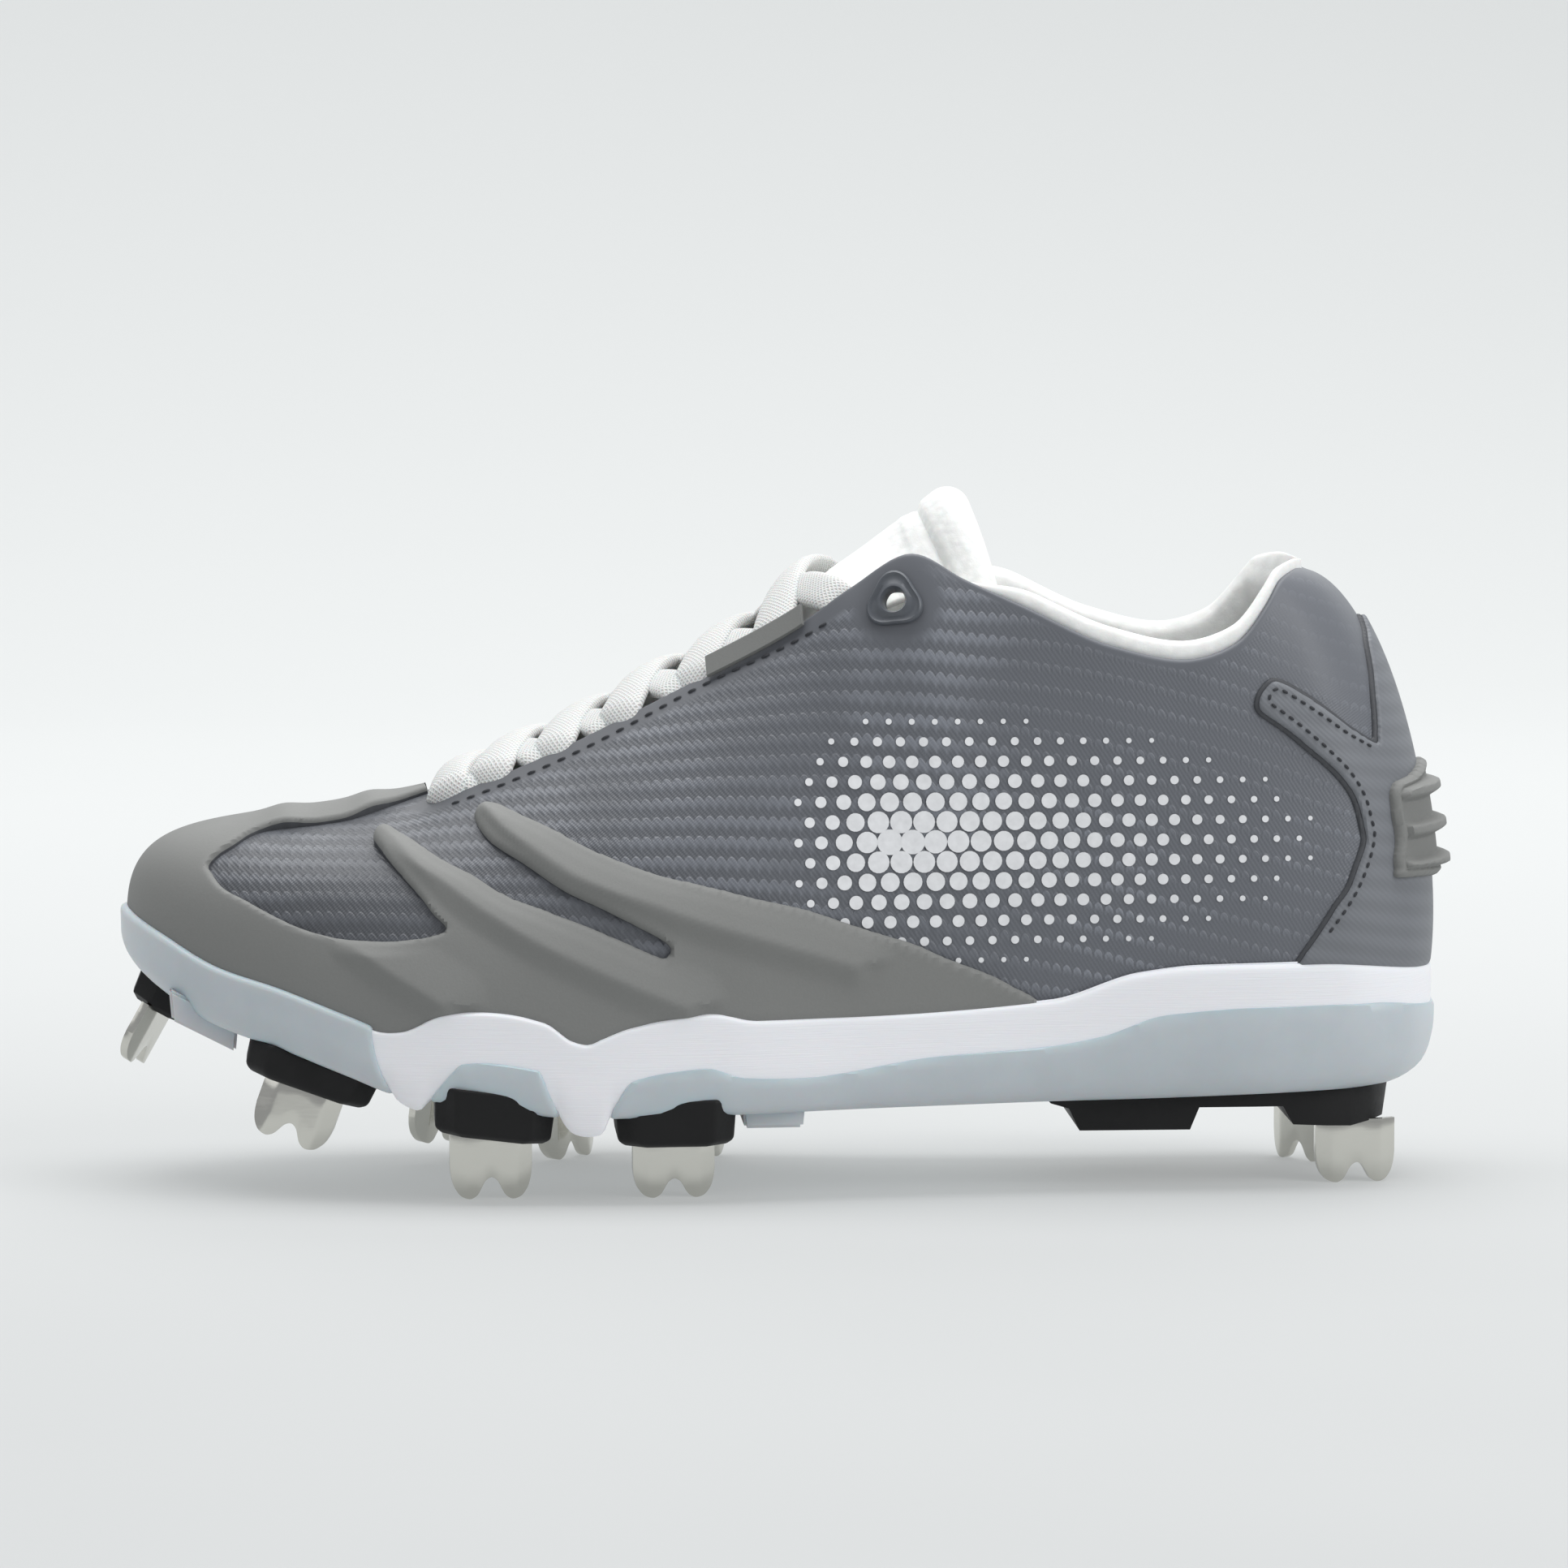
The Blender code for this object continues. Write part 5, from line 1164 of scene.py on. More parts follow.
def merged(item):
    """Join the vertices of a piece that lie in one place."""
    work = bmesh.new()
    work.from_mesh(item.data)
    bmesh.ops.remove_doubles(work, verts=work.verts, dist=1e-6)
    work.to_mesh(item.data)
    work.free()
    item.data.shade_smooth()
    item.data.set_sharp_from_angle(angle=math.radians(40))
    return item


def through(guides, places):
    """Points of a smooth curve through guide points along the first axis."""
    count = len(guides)
    cell = np.clip(places.astype(int), 0, count - 2)
    t = (places - cell)[:, None, None]
    a, b = guides[np.maximum(cell - 1, 0)], guides[cell]
    c, d = guides[cell + 1], guides[np.minimum(cell + 2, count - 1)]
    return 0.5 * (2 * b + (c - a) * t + (2 * a - 5 * b + 4 * c - d) * t ** 2
                  + (3 * b - a - 3 * c + d) * t ** 3)


def sole_wall(ring, places, low_band):
    """Side wall of the sole: from inside the rim over its top and down to the underside."""
    base, _ = PLAN.point(ring)
    along = along_of(base[:, 0])
    rim = rim_height(ring, along)
    round_in = EDGE_ROUND * ROUNDING(along)
    rise = rise_at_height(ring, rim)
    guides = []

    def guide(points, level):
        guides.append(np.concatenate([points[:, :2], level[:, None]], -1))

    guide(upper_surface(ring, rise, 0.0002), rim - 0.004)
    guide(upper_surface(ring, rise, 0.0002), rim - 0.0010)
    top_in = upper_surface(ring, rise, 0.0007)
    guide(top_in, rim - 0.0002)
    top_out, _ = PLAN.point(ring, round_in * 0.12 + 0.0006)
    guide(0.5 * (top_in[:, :2] + top_out), rim)
    guide(top_out, rim - 0.0002)
    for inset, share in ((0.05, 0.03), (0.0, 0.10), (0.02, 0.36), (0.06, 0.62), (0.36, 0.87),
                         (1.0, 1.0)):
        out, _ = PLAN.point(ring, round_in * inset)
        edge = bottom_height(along_of(out[:, 0]))
        if low_band:
            edge = np.minimum(edge, joint_height(ring, along) - PART_GAP)
        guide(out, rim + (edge - rim) * share)
    for inset in (0.0095, 0.0135):
        out, _ = PLAN.point(ring, inset)
        guide(out, bottom_height(along_of(out[:, 0])))
    return np.swapaxes(through(np.array(guides), places), 0, 1)


SOLE_GUIDES = 13


def sole_grid(count, places, low_band):
    """Grid of the sole's wall with all that a patch needs."""
    ring = np.linspace(0, 1, count)
    points = sole_wall(ring, places, low_band)
    first, second = np.meshgrid(ring, places, indexing="ij")
    normal = -unit(np.cross(np.gradient(points, axis=0), np.gradient(points, axis=1)))
    normal[0] = normal[-1] = normal[0] + normal[-1]
    normal = unit(normal)
    cloth = np.stack([first * PLAN.half_length * 2000, points[..., 2] * 1000], -1)
    return np.concatenate([points, normal, cloth, first[..., None], second[..., None]], -1)


def joint_field(grid):
    """How far the joint lies over each place of the sole's wall."""
    ring = grid[:, 0, 8]
    base, inward = PLAN.point(ring)
    along = along_of(base[:, 0])
    line = joint_height(ring, along)
    middle = 0.5 * (bottom_height(along) + footbed_height(along))
    front = blend(*JOINT_FRONT, along)
    core = middle * front + (bottom_height(along) + RIM_HEIGHT * 1.3) * (1 - front)
    inset = ((grid[..., :2] - base[:, None, :]) * inward[:, None, :]).sum(-1)
    level = line[:, None] + (core - line)[:, None] * blend(0.0070, 0.0095, inset)
    return level - grid[..., 2]


def eyelet_matrix(side):
    """Place of a top eyelet on the upper's surface, Z pointing out."""
    ring = np.array(EYELET_RING if side < 0 else 1 - EYELET_RING)
    here = Vector(rib_points(ring, np.array(EYELET_RISE)))
    out = Vector(upper_normal(ring, np.array(EYELET_RISE)))
    forward = Vector(rib_points(ring + 0.01 * side, np.array(EYELET_RISE))) - here
    forward -= out * forward.dot(out)
    forward.normalize()
    turn = Matrix((forward, out.cross(forward), out)).transposed().to_4x4()
    return Matrix.Translation(here) @ turn


def edge_roll(rings, angles, radius):
    """Rows over the rolled top edge of the upper, by angle from outside to inside."""
    one = np.ones_like(rings)
    normal = upper_normal(rings, one)
    climb = unit(rib_points(rings, one) - rib_points(rings, one - 0.01))
    centre = rib_points(rings, one) - normal * (0.5 * UPPER_WALL)
    rows = [centre + normal * (radius * math.cos(angle)) + climb * (radius * math.sin(angle))
            for angle in angles]
    return np.stack(rows, 1)


def add_stitch(points, faces, start, end, out, width):
    """Add one stitch: a short rounded dash with its ends in the cloth."""
    run = end - start
    side = np.cross(out, run)
    side *= 0.5 * width / np.linalg.norm(side)
    base = len(points)
    for share, wide, tall in STITCH_RUN:
        middle = start + run * share
        for across, lift in STITCH_SECTION:
            points.append(middle + side * (across * wide) + out * (lift * tall * 0.5 * width))
    faces += [(a, d, c, b) for a, b, c, d in grid_faces(
        len(STITCH_RUN), len(STITCH_SECTION), start=base)]


def stitch_run(path, scale=1.0):
    """Points and faces of stitches along a path of ring and rise, on both sides."""
    step, length = sizes().stitch_step * scale, sizes().stitch_length * scale
    points, faces = [], []
    dense = rounded_path(path, 24, closed=False)
    for rings in (dense[:, 0], 1 - dense[:, 0]):
        line = upper_surface(rings, dense[:, 1], 0.0002 + stitch_lift(rings))
        walked = walked_along(line)
        for number in range(int(walked[-1] / step)):
            ends = [np.array([np.interp(place, walked, line[:, axis]) for axis in range(3)])
                    for place in (number * step, number * step + length)]
            share = np.interp(number * step, walked, np.arange(len(dense)))
            spot = min(int(share), len(dense) - 1)
            out = upper_normal(rings[spot], dense[spot, 1])
            add_stitch(points, faces, ends[0], ends[1], out, 0.0007)
    return points, faces


def stitch_lift(rings):
    """How far stitches stand off the upper: more where they lie on the counter."""
    return np.where(around_of(rings) > 0.8, PART_GAP + COUNTER_WALL, 0.0)


class PieceMaker:
    """What the operators share."""

    bl_options = {"REGISTER", "UNDO"}


class MakeStage(PieceMaker, bpy.types.Operator):
    """Make the pale floor, the soft lights and the camera."""

    bl_idname = "cleat.stage"
    bl_label = "Stage"

    CAMERA_AIM = (-0.000807, 0.001719, 0.0874)
    CAMERA_DISTANCE = 1.8
    CAMERA_TURN = math.radians(-3.2)
    CAMERA_RISE = math.radians(5.3)
    FRAME_WIDTH = 1932
    FRAME_LENS = 9990

    def execute(self, context):
        self.add_floor()
        self.add_lights()
        self.add_camera(context)
        return {"FINISHED"}

    def add_floor(self):
        """A sheet of pale paper that curves up behind the shoe, with painted shade and painted
        light.
        """
        profile = [(-3.2, 0.0), (1.2, 0.0)]
        profile += [(1.2 + 0.9 * math.sin(step), 0.9 - 0.9 * math.cos(step))
                    for step in np.linspace(0.1, math.pi / 2, 14)]
        profile.append((2.1, 3.4))
        points = [(x, y, z) for x in (-3.5, 3.5) for y, z in profile]
        faces = grid_faces(2, len(profile))
        mesh = bpy.data.meshes.new("studio_floor")
        mesh.from_pydata(points, [], faces)
        mesh.shade_smooth()
        floor = bpy.data.objects.new("studio_floor", mesh)
        bpy.context.scene.collection.objects.link(floor)
        # Painted shade: the paper is darker near the camera and lighter further back.
        near, far = (0.250, 0.254, 0.256), (0.455, 0.462, 0.460)
        paper = Finish("studio_paper", near, 0.9)
        where = paper.place()
        grain = paper.noise(where, 4.0, 2.0)
        depth = paper.split(where)[1]
        paper.colour(paper.mix(paper.spread(depth, -0.4, 1.6), near, far))
        paper.rough(paper.spread(grain, 0.3, 0.7, 0.85, 0.95))
        # Painted light: the paper glows, so that the shoe's shadow on it is lighter.
        paper.gloss(emission_color=(0.97, 1.0, 0.995, 1.0), emission_strength=0.34)
        mesh.materials.append(paper.material)

    def add_lights(self):
        """Big soft boxes above, in front and at the sides, and a pale surrounding."""
        world = bpy.data.worlds.new("studio_air")
        world.use_nodes = True
        world.node_tree.nodes["Background"].inputs[0].default_value = (0.95, 0.97, 1.0, 1.0)
        world.node_tree.nodes["Background"].inputs[1].default_value = 0.42
        bpy.context.scene.world = world
        boxes = (
            ("top_box", (0.0, 0.1, 1.5), (0.0, 0.0, 0.05), 1.8, 1.2, 25.0),
            ("left_box", (-1.4, -1.0, 0.9), (0.0, 0.0, 0.06), 1.0, 1.0, 2.0),
            ("right_box", (1.4, -0.9, 0.9), (0.0, 0.0, 0.06), 1.0, 1.0, 13.0),
            ("back_box", (0.2, 1.2, 1.1), (0.0, 0.0, 0.08), 1.4, 0.8, 6.0),
        )
        for name, place, aim, wide, tall, power in boxes:
            lamp = bpy.data.lights.new(name, "AREA")
            lamp.shape = "RECTANGLE"
            lamp.size = wide
            lamp.size_y = tall
            lamp.energy = power
            item = bpy.data.objects.new(name, lamp)
            item.location = place
            facing = Vector(aim) - Vector(place)
            item.rotation_euler = facing.to_track_quat("-Z", "Y").to_euler()
            bpy.context.scene.collection.objects.link(item)

    def add_camera(self, context):
        """The camera at the photograph's viewing angle."""
        back = Vector((math.sin(self.CAMERA_TURN) * math.cos(self.CAMERA_RISE),
                       -math.cos(self.CAMERA_TURN) * math.cos(self.CAMERA_RISE),
                       math.sin(self.CAMERA_RISE)))
        lens = bpy.data.cameras.new("photo_camera")
        lens.sensor_width = 36.0
        lens.lens = lens.sensor_width * self.FRAME_LENS / self.FRAME_WIDTH
        lens.clip_start = 0.05
        camera = bpy.data.objects.new("photo_camera", lens)
        camera.location = Vector(self.CAMERA_AIM) + back * self.CAMERA_DISTANCE
        camera.rotation_euler = (-back).to_track_quat("-Z", "Y").to_euler()
        context.scene.collection.objects.link(camera)
        context.scene.camera = camera
        context.scene.view_settings.view_transform = "Standard"


class MakeSole(PieceMaker, bpy.types.Operator):
    """Make the white midsole band and the translucent outsole with its prongs."""

    bl_idname = "cleat.sole"
    bl_label = "Sole"

    def execute(self, context):
        self.add_midsole()
        self.add_outsole()
        self.add_lugs()
        return {"FINISHED"}

    def add_midsole(self):
        """The white band, all the way down behind the outsole's prongs."""
        grid = sole_grid(721, np.linspace(0, SOLE_GUIDES - 1, 34), True)
        item = patch("midsole_band", grid, np.ones(grid.shape[:2]), flat, "foam_look")
        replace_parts(merged(item), "midsole")

    def add_outsole(self):
        """The grey side wall with rounded prongs, and the underside."""
        grid = sole_grid(1001, np.linspace(0, SOLE_GUIDES - 1, 46), False)
        item = patch("outsole_shell", grid, joint_field(grid),
                     lambda far, spots: rounded_step(far, 0.0008, 0.0012),
                     "rubber_look", under=-0.0004)
        merged(item)
        ring = np.linspace(0, 1, 361)[:-1]
        edge, _ = PLAN.point(ring, 0.009)
        level = bottom_height(along_of(edge[:, 0]))
        rim = np.concatenate([edge, level[:, None] - 0.0006], -1)
        count = len(rim)
        mirror = rim[(-np.arange(count)) % count]
        points = np.concatenate([rim * (1 - 0.5 * share) + mirror * 0.5 * share
                                 for share in np.linspace(0, 1, 9)])
        faces = [(a, d, c, b) for a, b, c, d in grid_faces(9, count, wrap_rows=True)]
        under = mesh_piece("outsole_underside", points, faces, "rubber_look")
        for piece in (item, under):
            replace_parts(piece, "outsole")

    def add_lugs(self):
        """Moulded blocks and a low tread under the outsole."""
        blocks = list(LUGS)
        for number in range(TREAD_COUNT):
            low = TREAD_START + number * TREAD_STEP
            blocks += [(low, low + TREAD_LENGTH, across, 0.16, 0.22) for across in (-0.20, 0.12)]
        work = bmesh.new()
        for low, high, across, wide, depth in blocks:
            levels = [float(bottom_height(np.array(place))) for place in (low, high)]
            loops = []
            for taper, sink in ((0.0, -0.0015), (0.0006, LUG_DEPTH * depth)):
                start = (low - 0.5) * SHOE_LENGTH + taper
                end = (high - 0.5) * SHOE_LENGTH - taper
                half = 0.5 * wide * BALL_WIDTH - taper
                corners = ((start, -half, levels[0]), (end, -half, levels[1]),
                           (end, half, levels[1]), (start, half, levels[0]))
                loops.append([work.verts.new(Vector((x, across * BALL_WIDTH + y, level - sink))
                                             + Vector(PLACE)) for x, y, level in corners])
            for index in range(4):
                after = (index + 1) % 4
                work.faces.new((loops[0][index], loops[0][after], loops[1][after],
                                loops[1][index]))
            work.faces.new(loops[0])
            work.faces.new(loops[1])
        bmesh.ops.recalc_face_normals(work, faces=work.faces)
        bmesh.ops.bevel(work, geom=work.edges, offset=0.0006, segments=2, affect="EDGES",
                        clamp_overlap=True)
        item = worked_piece("outsole_lugs", work, "rubber_look")
        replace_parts(item, "outsole")


class MakeUpper(PieceMaker, bpy.types.Operator):
    """Make the woven upper with its rolled edge and its inner lining."""

    bl_idname = "cleat.upper"
    bl_label = "Upper"

    def execute(self, context):
        rings = np.linspace(0, 1, 561)
        grid = upper_patch_grid(rings, np.linspace(0, 1, 101))
        roll = edge_roll(rings, np.linspace(0.25, math.pi, 8), 0.5 * UPPER_WALL)
        more = np.repeat(grid[:, -1:, :], roll.shape[1], axis=1)
        more[..., :3] = roll
        grid = np.concatenate([grid, more], 1)
        middles = [np.array(eyelet_matrix(side).translation) for side in (-1, 1)]

        def from_eyelets(places):
            """Distance of each place to the middle of the nearer top eyelet."""
            return np.min([np.linalg.norm(places - middle, axis=-1) for middle in middles], axis=0)

        def calm(places, spots):
            """Where the cloth is smooth: along the eyestay and round the eyelets."""
            around = around_of(spots[:, 0])
            eyestay = blend(0.12, 0.15, around) * (1 - blend(0.60, 0.64, around))
            strip = blend(0.905, 0.945, spots[:, 1]) * eyestay
            strip = np.maximum(strip, blend(0.965, 0.985, spots[:, 1]))
            return np.maximum(strip, 1 - blend(0.0085, 0.0125, from_eyelets(places)))

        item = patch("upper_shell", grid, from_eyelets(grid[..., :3]) - EYELET_HOLE, flat,
                     "woven_cloth", under=-UPPER_WALL, calm=calm)
        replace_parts(merged(item), "upper")
        inner = upper_patch_grid(rings[::2], np.linspace(0, 1, 61))
        inner[..., :3] -= inner[..., 3:6] * UPPER_WALL
        field = from_eyelets(inner[..., :3]) - 1.3 * EYELET_HOLE
        lining = patch("upper_lining", inner, field, flat, "lining_mesh", under=0.0, flip=True)
        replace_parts(merged(lining), "upper")
        return {"FINISHED"}


def rim_rises(rings):
    """Rise at which the sole's rim ends, for each ring place."""
    keys = np.linspace(0, 1, 241)
    base, _ = PLAN.point(keys)
    found = rise_at_height(keys, rim_height(keys, along_of(base[:, 0])))
    return np.interp(np.mod(rings, 1.0), keys, found)


def tucked(spots, lift):
    """A lift that fades to nothing behind the sole's rim."""
    edge = rim_rises(spots[:, 0])
    return 0.0001 + (lift - 0.0001) * blend(edge - 0.03, edge + 0.004, spots[:, 1])


class MakeOverlays(PieceMaker, bpy.types.Operator):
    """Make the toe overlay, the heel counter and the ribbed heel grip."""

    bl_idname = "cleat.overlays"
    bl_label = "Overlays"

    def execute(self, context):
        self.add_toe()
        self.add_counter()
        self.add_grip()
        return {"FINISHED"}

    def add_toe(self):
        """Matt toe cap with its spine, fingers and soft ridges."""
        grid = upper_patch_grid(np.linspace(-0.365, 0.365, 581), np.linspace(0, 1, 105))
        field = edge_field(OVERLAY_EDGE, grid[..., 8], grid[..., 9])
        ridge_points, ridge_rises = [], []
        for path in RIDGES:
            line = rounded_path(path, 24, closed=False)
            for rings in (line[:, 0], 1 - line[:, 0]):
                ridge_points.append(rib_points(rings, line[:, 1]))
                ridge_rises.append(line[:, 1])
        tree = tree_of(np.concatenate(ridge_points))
        ridge_rises = np.concatenate(ridge_rises)
        ridge = sizes().ridge_height

        def lift(far, spots):
            here = rib_points(spots[:, 0], spots[:, 1])
            found = [tree.find(place) for place in here]
            crest = np.array([near[2] for near in found])
            above = spots[:, 1] > ridge_rises[[near[1] for near in found]]
            fade = np.clip(far / 0.0035, 0, 1)
            height = rounded_step(far, OVERLAY_WALL + PART_GAP, 0.0010)
            tent = np.clip(1 - crest / np.where(above, 0.0100, 0.0045), 0, 1) ** 1.25
            knuckles = sum(tall * np.exp(-((here[:, 0] - spot) / wide) ** 2)
                           for spot, wide, tall in TOE_KNUCKLES)
            knuckles = knuckles * blend(0.40, 0.60, spots[:, 1])
            return tucked(spots, height + ridge * fade * tent + knuckles)

        # The overlay's side walls are painted dark as a shadow line under its edge.
        item = patch("toe_overlay_skin", grid, field, lift, "overlay_skin", wall="edge_dark")
        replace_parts(item, "toe_overlay")

    def add_counter(self):
        """Grey film round the heel."""
        grid = upper_patch_grid(np.linspace(0.395, 0.605, 241), np.linspace(0.0, 0.84, 134))
        field = edge_field(COUNTER_EDGE, grid[..., 8], grid[..., 9])
        # The counter's side walls are painted dark as a shadow line under its edge.
        item = patch("heel_counter_skin", grid, field,
                     lambda far, spots: tucked(spots, rounded_step(
                         far, COUNTER_WALL + PART_GAP, 0.0008, 0.6)), "counter_look",
                     wall="edge_dark")
        edge = patch("heel_counter_edge", grid, field + 0.0009,
                     lambda far, spots: tucked(spots, rounded_step(far, 0.0008, 0.0008)),
                     "edge_dark")
        for piece in (item, edge):
            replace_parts(piece, "heel_counter")

    def add_grip(self):
        """Three soft ribs on the back of the heel."""
        grid = upper_patch_grid(np.linspace(0.44, 0.56, 161), np.linspace(0.20, 0.52, 121))
        field = edge_field(GRIP_EDGE, grid[..., 8], grid[..., 9])
        base = COUNTER_WALL + 2 * PART_GAP

        def lift(far, spots):
            height = rib_points(spots[:, 0], spots[:, 1])[:, 2] / INSTEP_HEIGHT
            side = 1 - (np.abs(spots[:, 0] - 0.5) / 0.055) ** 4
            ribs = sum(1 - blend(0.25, 1.0, np.abs(height - rib) / GRIP_RIB_WIDTH)
                       for rib in GRIP_RIBS)
            rim = 0.0006 * np.exp(-((far - 0.0012) / 0.0006) ** 2)
            return base + rounded_step(far, GRIP_BASE, 0.0010) + rim + GRIP_RIB * ribs * (
                np.clip(side, 0, 1) * blend(0.0016, 0.0026, far))

        item = patch("heel_grip_skin", grid, field, lift, "overlay_skin")
        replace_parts(item, "heel_grip")


class MakeTongue(PieceMaker, bpy.types.Operator):
    """Make the padded white tongue."""

    bl_idname = "cleat.tongue"
    bl_label = "Tongue"

    def execute(self, context):
        arounds = np.linspace(TONGUE[0].around, TONGUE[-1].around, 121)
        parts = np.linspace(0, 1, 61)
        first, second = np.meshgrid(arounds, parts, indexing="ij")
        outer = tongue_point(first, second)
        normal = unit(np.cross(np.gradient(outer, axis=1), np.gradient(outer, axis=0)))
        normal *= np.where(normal[..., 2:3] > 0, -1, 1)
        pad = TONGUE_CURVES["pad"](first) * TONGUE_THICKNESS
        roll = blend(0.6325, 0.6385, first)
        pad = (pad + 0.0030 * roll) * (1 - 0.55 * np.abs(2 * second - 1) ** 4)
        seam = np.exp(-((first - 0.6330) / 0.0016) ** 2)
        middle = outer + normal * (0.5 * pad - 0.0012 * roll + 0.0005 * seam)[..., None]
        ahead = unit(outer[-1] - outer[-2])
        rows = [(middle[row], normal[row], 0.5 * pad[row]) for row in range(len(arounds))]
        for angle in np.linspace(0, math.pi / 2, 8)[1:]:
            shift = ahead * (0.5 * pad[-1] * math.sin(angle))[:, None]
            rows.append((middle[-1] + shift, normal[-1],
                         0.5 * pad[-1] * max(math.cos(angle), 0.02)))
        loops = []
        for centre, out, half in rows:
            wall = out * half[:, None]
            loops.append([*(centre - wall), *self.side(centre[-1], centre[-2], -wall[-1]),
                          *(centre + wall)[::-1], *self.side(centre[0], centre[1], wall[0])])
        count = len(loops[0])
        points = [point for loop in loops for point in loop]
        item = mesh_piece("tongue_pad", points, tube_faces(len(loops), count), "tongue_knit",
                          sharp=60)
        outward(item)
        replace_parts(item, "tongue")
        return {"FINISHED"}

    def side(self, centre, within, wall):
        """Points of the rounded side of a section, from one face to the other."""
        beside = unit(centre - within) * np.linalg.norm(wall)
        return [centre + wall * math.cos(angle) + beside * math.sin(angle)
                for angle in np.linspace(0, math.pi, 9)[1:-1]]


def outward(item):
    """Turn the faces of a closed piece outward."""
    work = bmesh.new()
    work.from_mesh(item.data)
    bmesh.ops.recalc_face_normals(work, faces=work.faces)
    work.to_mesh(item.data)
    work.free()


class MakeCollar(PieceMaker, bpy.types.Operator):
    """Make the padded lining round the collar."""

    bl_idname = "cleat.collar"
    bl_label = "Collar lining"

    def execute(self, context):
        rings = np.linspace(COLLAR_START, 1 - COLLAR_START, 181)
        grow = blend(COLLAR_START, COLLAR_GROWN, np.minimum(rings, 1 - rings))
        loops = []
        for rise, depth, lift in rounded_path(COLLAR_SECTION, 5):
            inside_by = UPPER_WALL + 0.0001 + depth * COLLAR_PAD
            place = upper_surface(rings, min(rise, 1.0), -inside_by)
            place[:, 2] += COLLAR_STAND * lift * grow
            loops.append(place)
        grid = np.stack(loops, 1)
        item = mesh_piece("collar_pad", grid.reshape(-1, 3), tube_faces(*grid.shape[:2]),
                          "lining_mesh", sharp=60)
        outward(item)
        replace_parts(item, "collar_lining")
        return {"FINISHED"}


def throat_parts(arounds):
    """Part across the tongue where it comes out from under the upper's edge."""
    parts = np.linspace(0, 0.5, 101)
    out = []
    for around in arounds:
        edge = upper_surface(0.5 * around, 1.0)
        line = tongue_point(around, parts)[:, 1]
        clear = np.nonzero(line > edge[1] + 0.0004)[0]
        out.append(parts[clear[0]] if len(clear) else 0.5)
    return np.array(out)


class MakeLaces(PieceMaker, bpy.types.Operator):
    """Make the white laces that cross the tongue."""

    bl_idname = "cleat.laces"
    bl_label = "Laces"

    def execute(self, context):
        stops = np.linspace(LACE_ENDS[0], LACE_ENDS[1], LACE_CROSSINGS + 1)
        points, faces, cloth = [], [], []
        for number, (start, end) in enumerate(zip(stops, stops[1:])):
            for over in (True, False):
                self.add_bar(points, faces, cloth, start, end, over, 0.10 * (number % 2))
        item = mesh_piece("lace_crossings", points, faces, "lace_cloth", cloth, sharp=60)
        outward(item)
        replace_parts(item, "laces")
        return {"FINISHED"}

    def add_bar(self, points, faces, cloth, start, end, over, raised):
        """One lace from edge to edge, with a rounded flat section."""
        ends = throat_parts([start, end])
        first, last = (ends[0], 1 - ends[1]) if over else (1 - ends[0], ends[1])
        places = np.linspace(-0.03, 1.03, 41)
        arounds = start + (end - start) * places
        parts = first + (last - first) * places
        here = tongue_point(arounds, parts)
        across = tongue_point(arounds, parts + 0.02) - tongue_point(arounds, parts - 0.02)
        ahead = tongue_point(arounds + 0.004, parts) - tongue_point(arounds - 0.004, parts)
        normal = unit(np.cross(ahead, across))
        normal *= np.where(normal[:, 2:] < 0, -1, 1)
        thick = sizes().lace_thickness
        width = sizes().lace_width * (1.0 if over else 0.72)
        hump = np.sin(math.pi * np.clip(places, 0, 1))
        lift = LACE_LIFT + (0.5 + raised) * thick + 0 * places
        lift += (LACE_OVER if over else LACE_UNDER) * thick * hump ** 0.55
        lift -= LACE_TUCK * thick * (1 - np.clip(hump * 2.6, 0, 1)) ** 1.5
        spine = here + normal * lift[:, None]
        run = unit(np.gradient(spine, axis=0))
        wide = unit(np.cross(run, normal))
        wide *= np.where(wide[:, :1] < 0, -1, 1)
        tall = np.cross(wide, run)
        tall *= np.where((tall * normal).sum(-1, keepdims=True) < 0, -1, 1)
        walked = walked_along(spine)
        base = len(points)
        for row in range(len(places)):
            narrow = 0.80 + 0.20 * min(1.0, 2.5 * hump[row])
            for step in range(LACE_SIDES):
                turn = 2 * math.pi * step / LACE_SIDES
                a = math.copysign(abs(math.cos(turn)) ** 0.62, math.cos(turn))
                b = math.copysign(abs(math.sin(turn)) ** 0.80, math.sin(turn))
                crown = 0.0006 * (1 - a * a) if over else 0.0
                sag = -0.0016 * max(0.0, -a) ** 2 if over else 0.0
                points.append(spine[row] + wide[row] * (0.5 * width * narrow * a)
                              + tall[row] * (0.5 * thick * b + crown + sag))
                cloth.append((walked[row] * 1000, 500 * width * a))
        faces += tube_faces(len(places), LACE_SIDES, base)


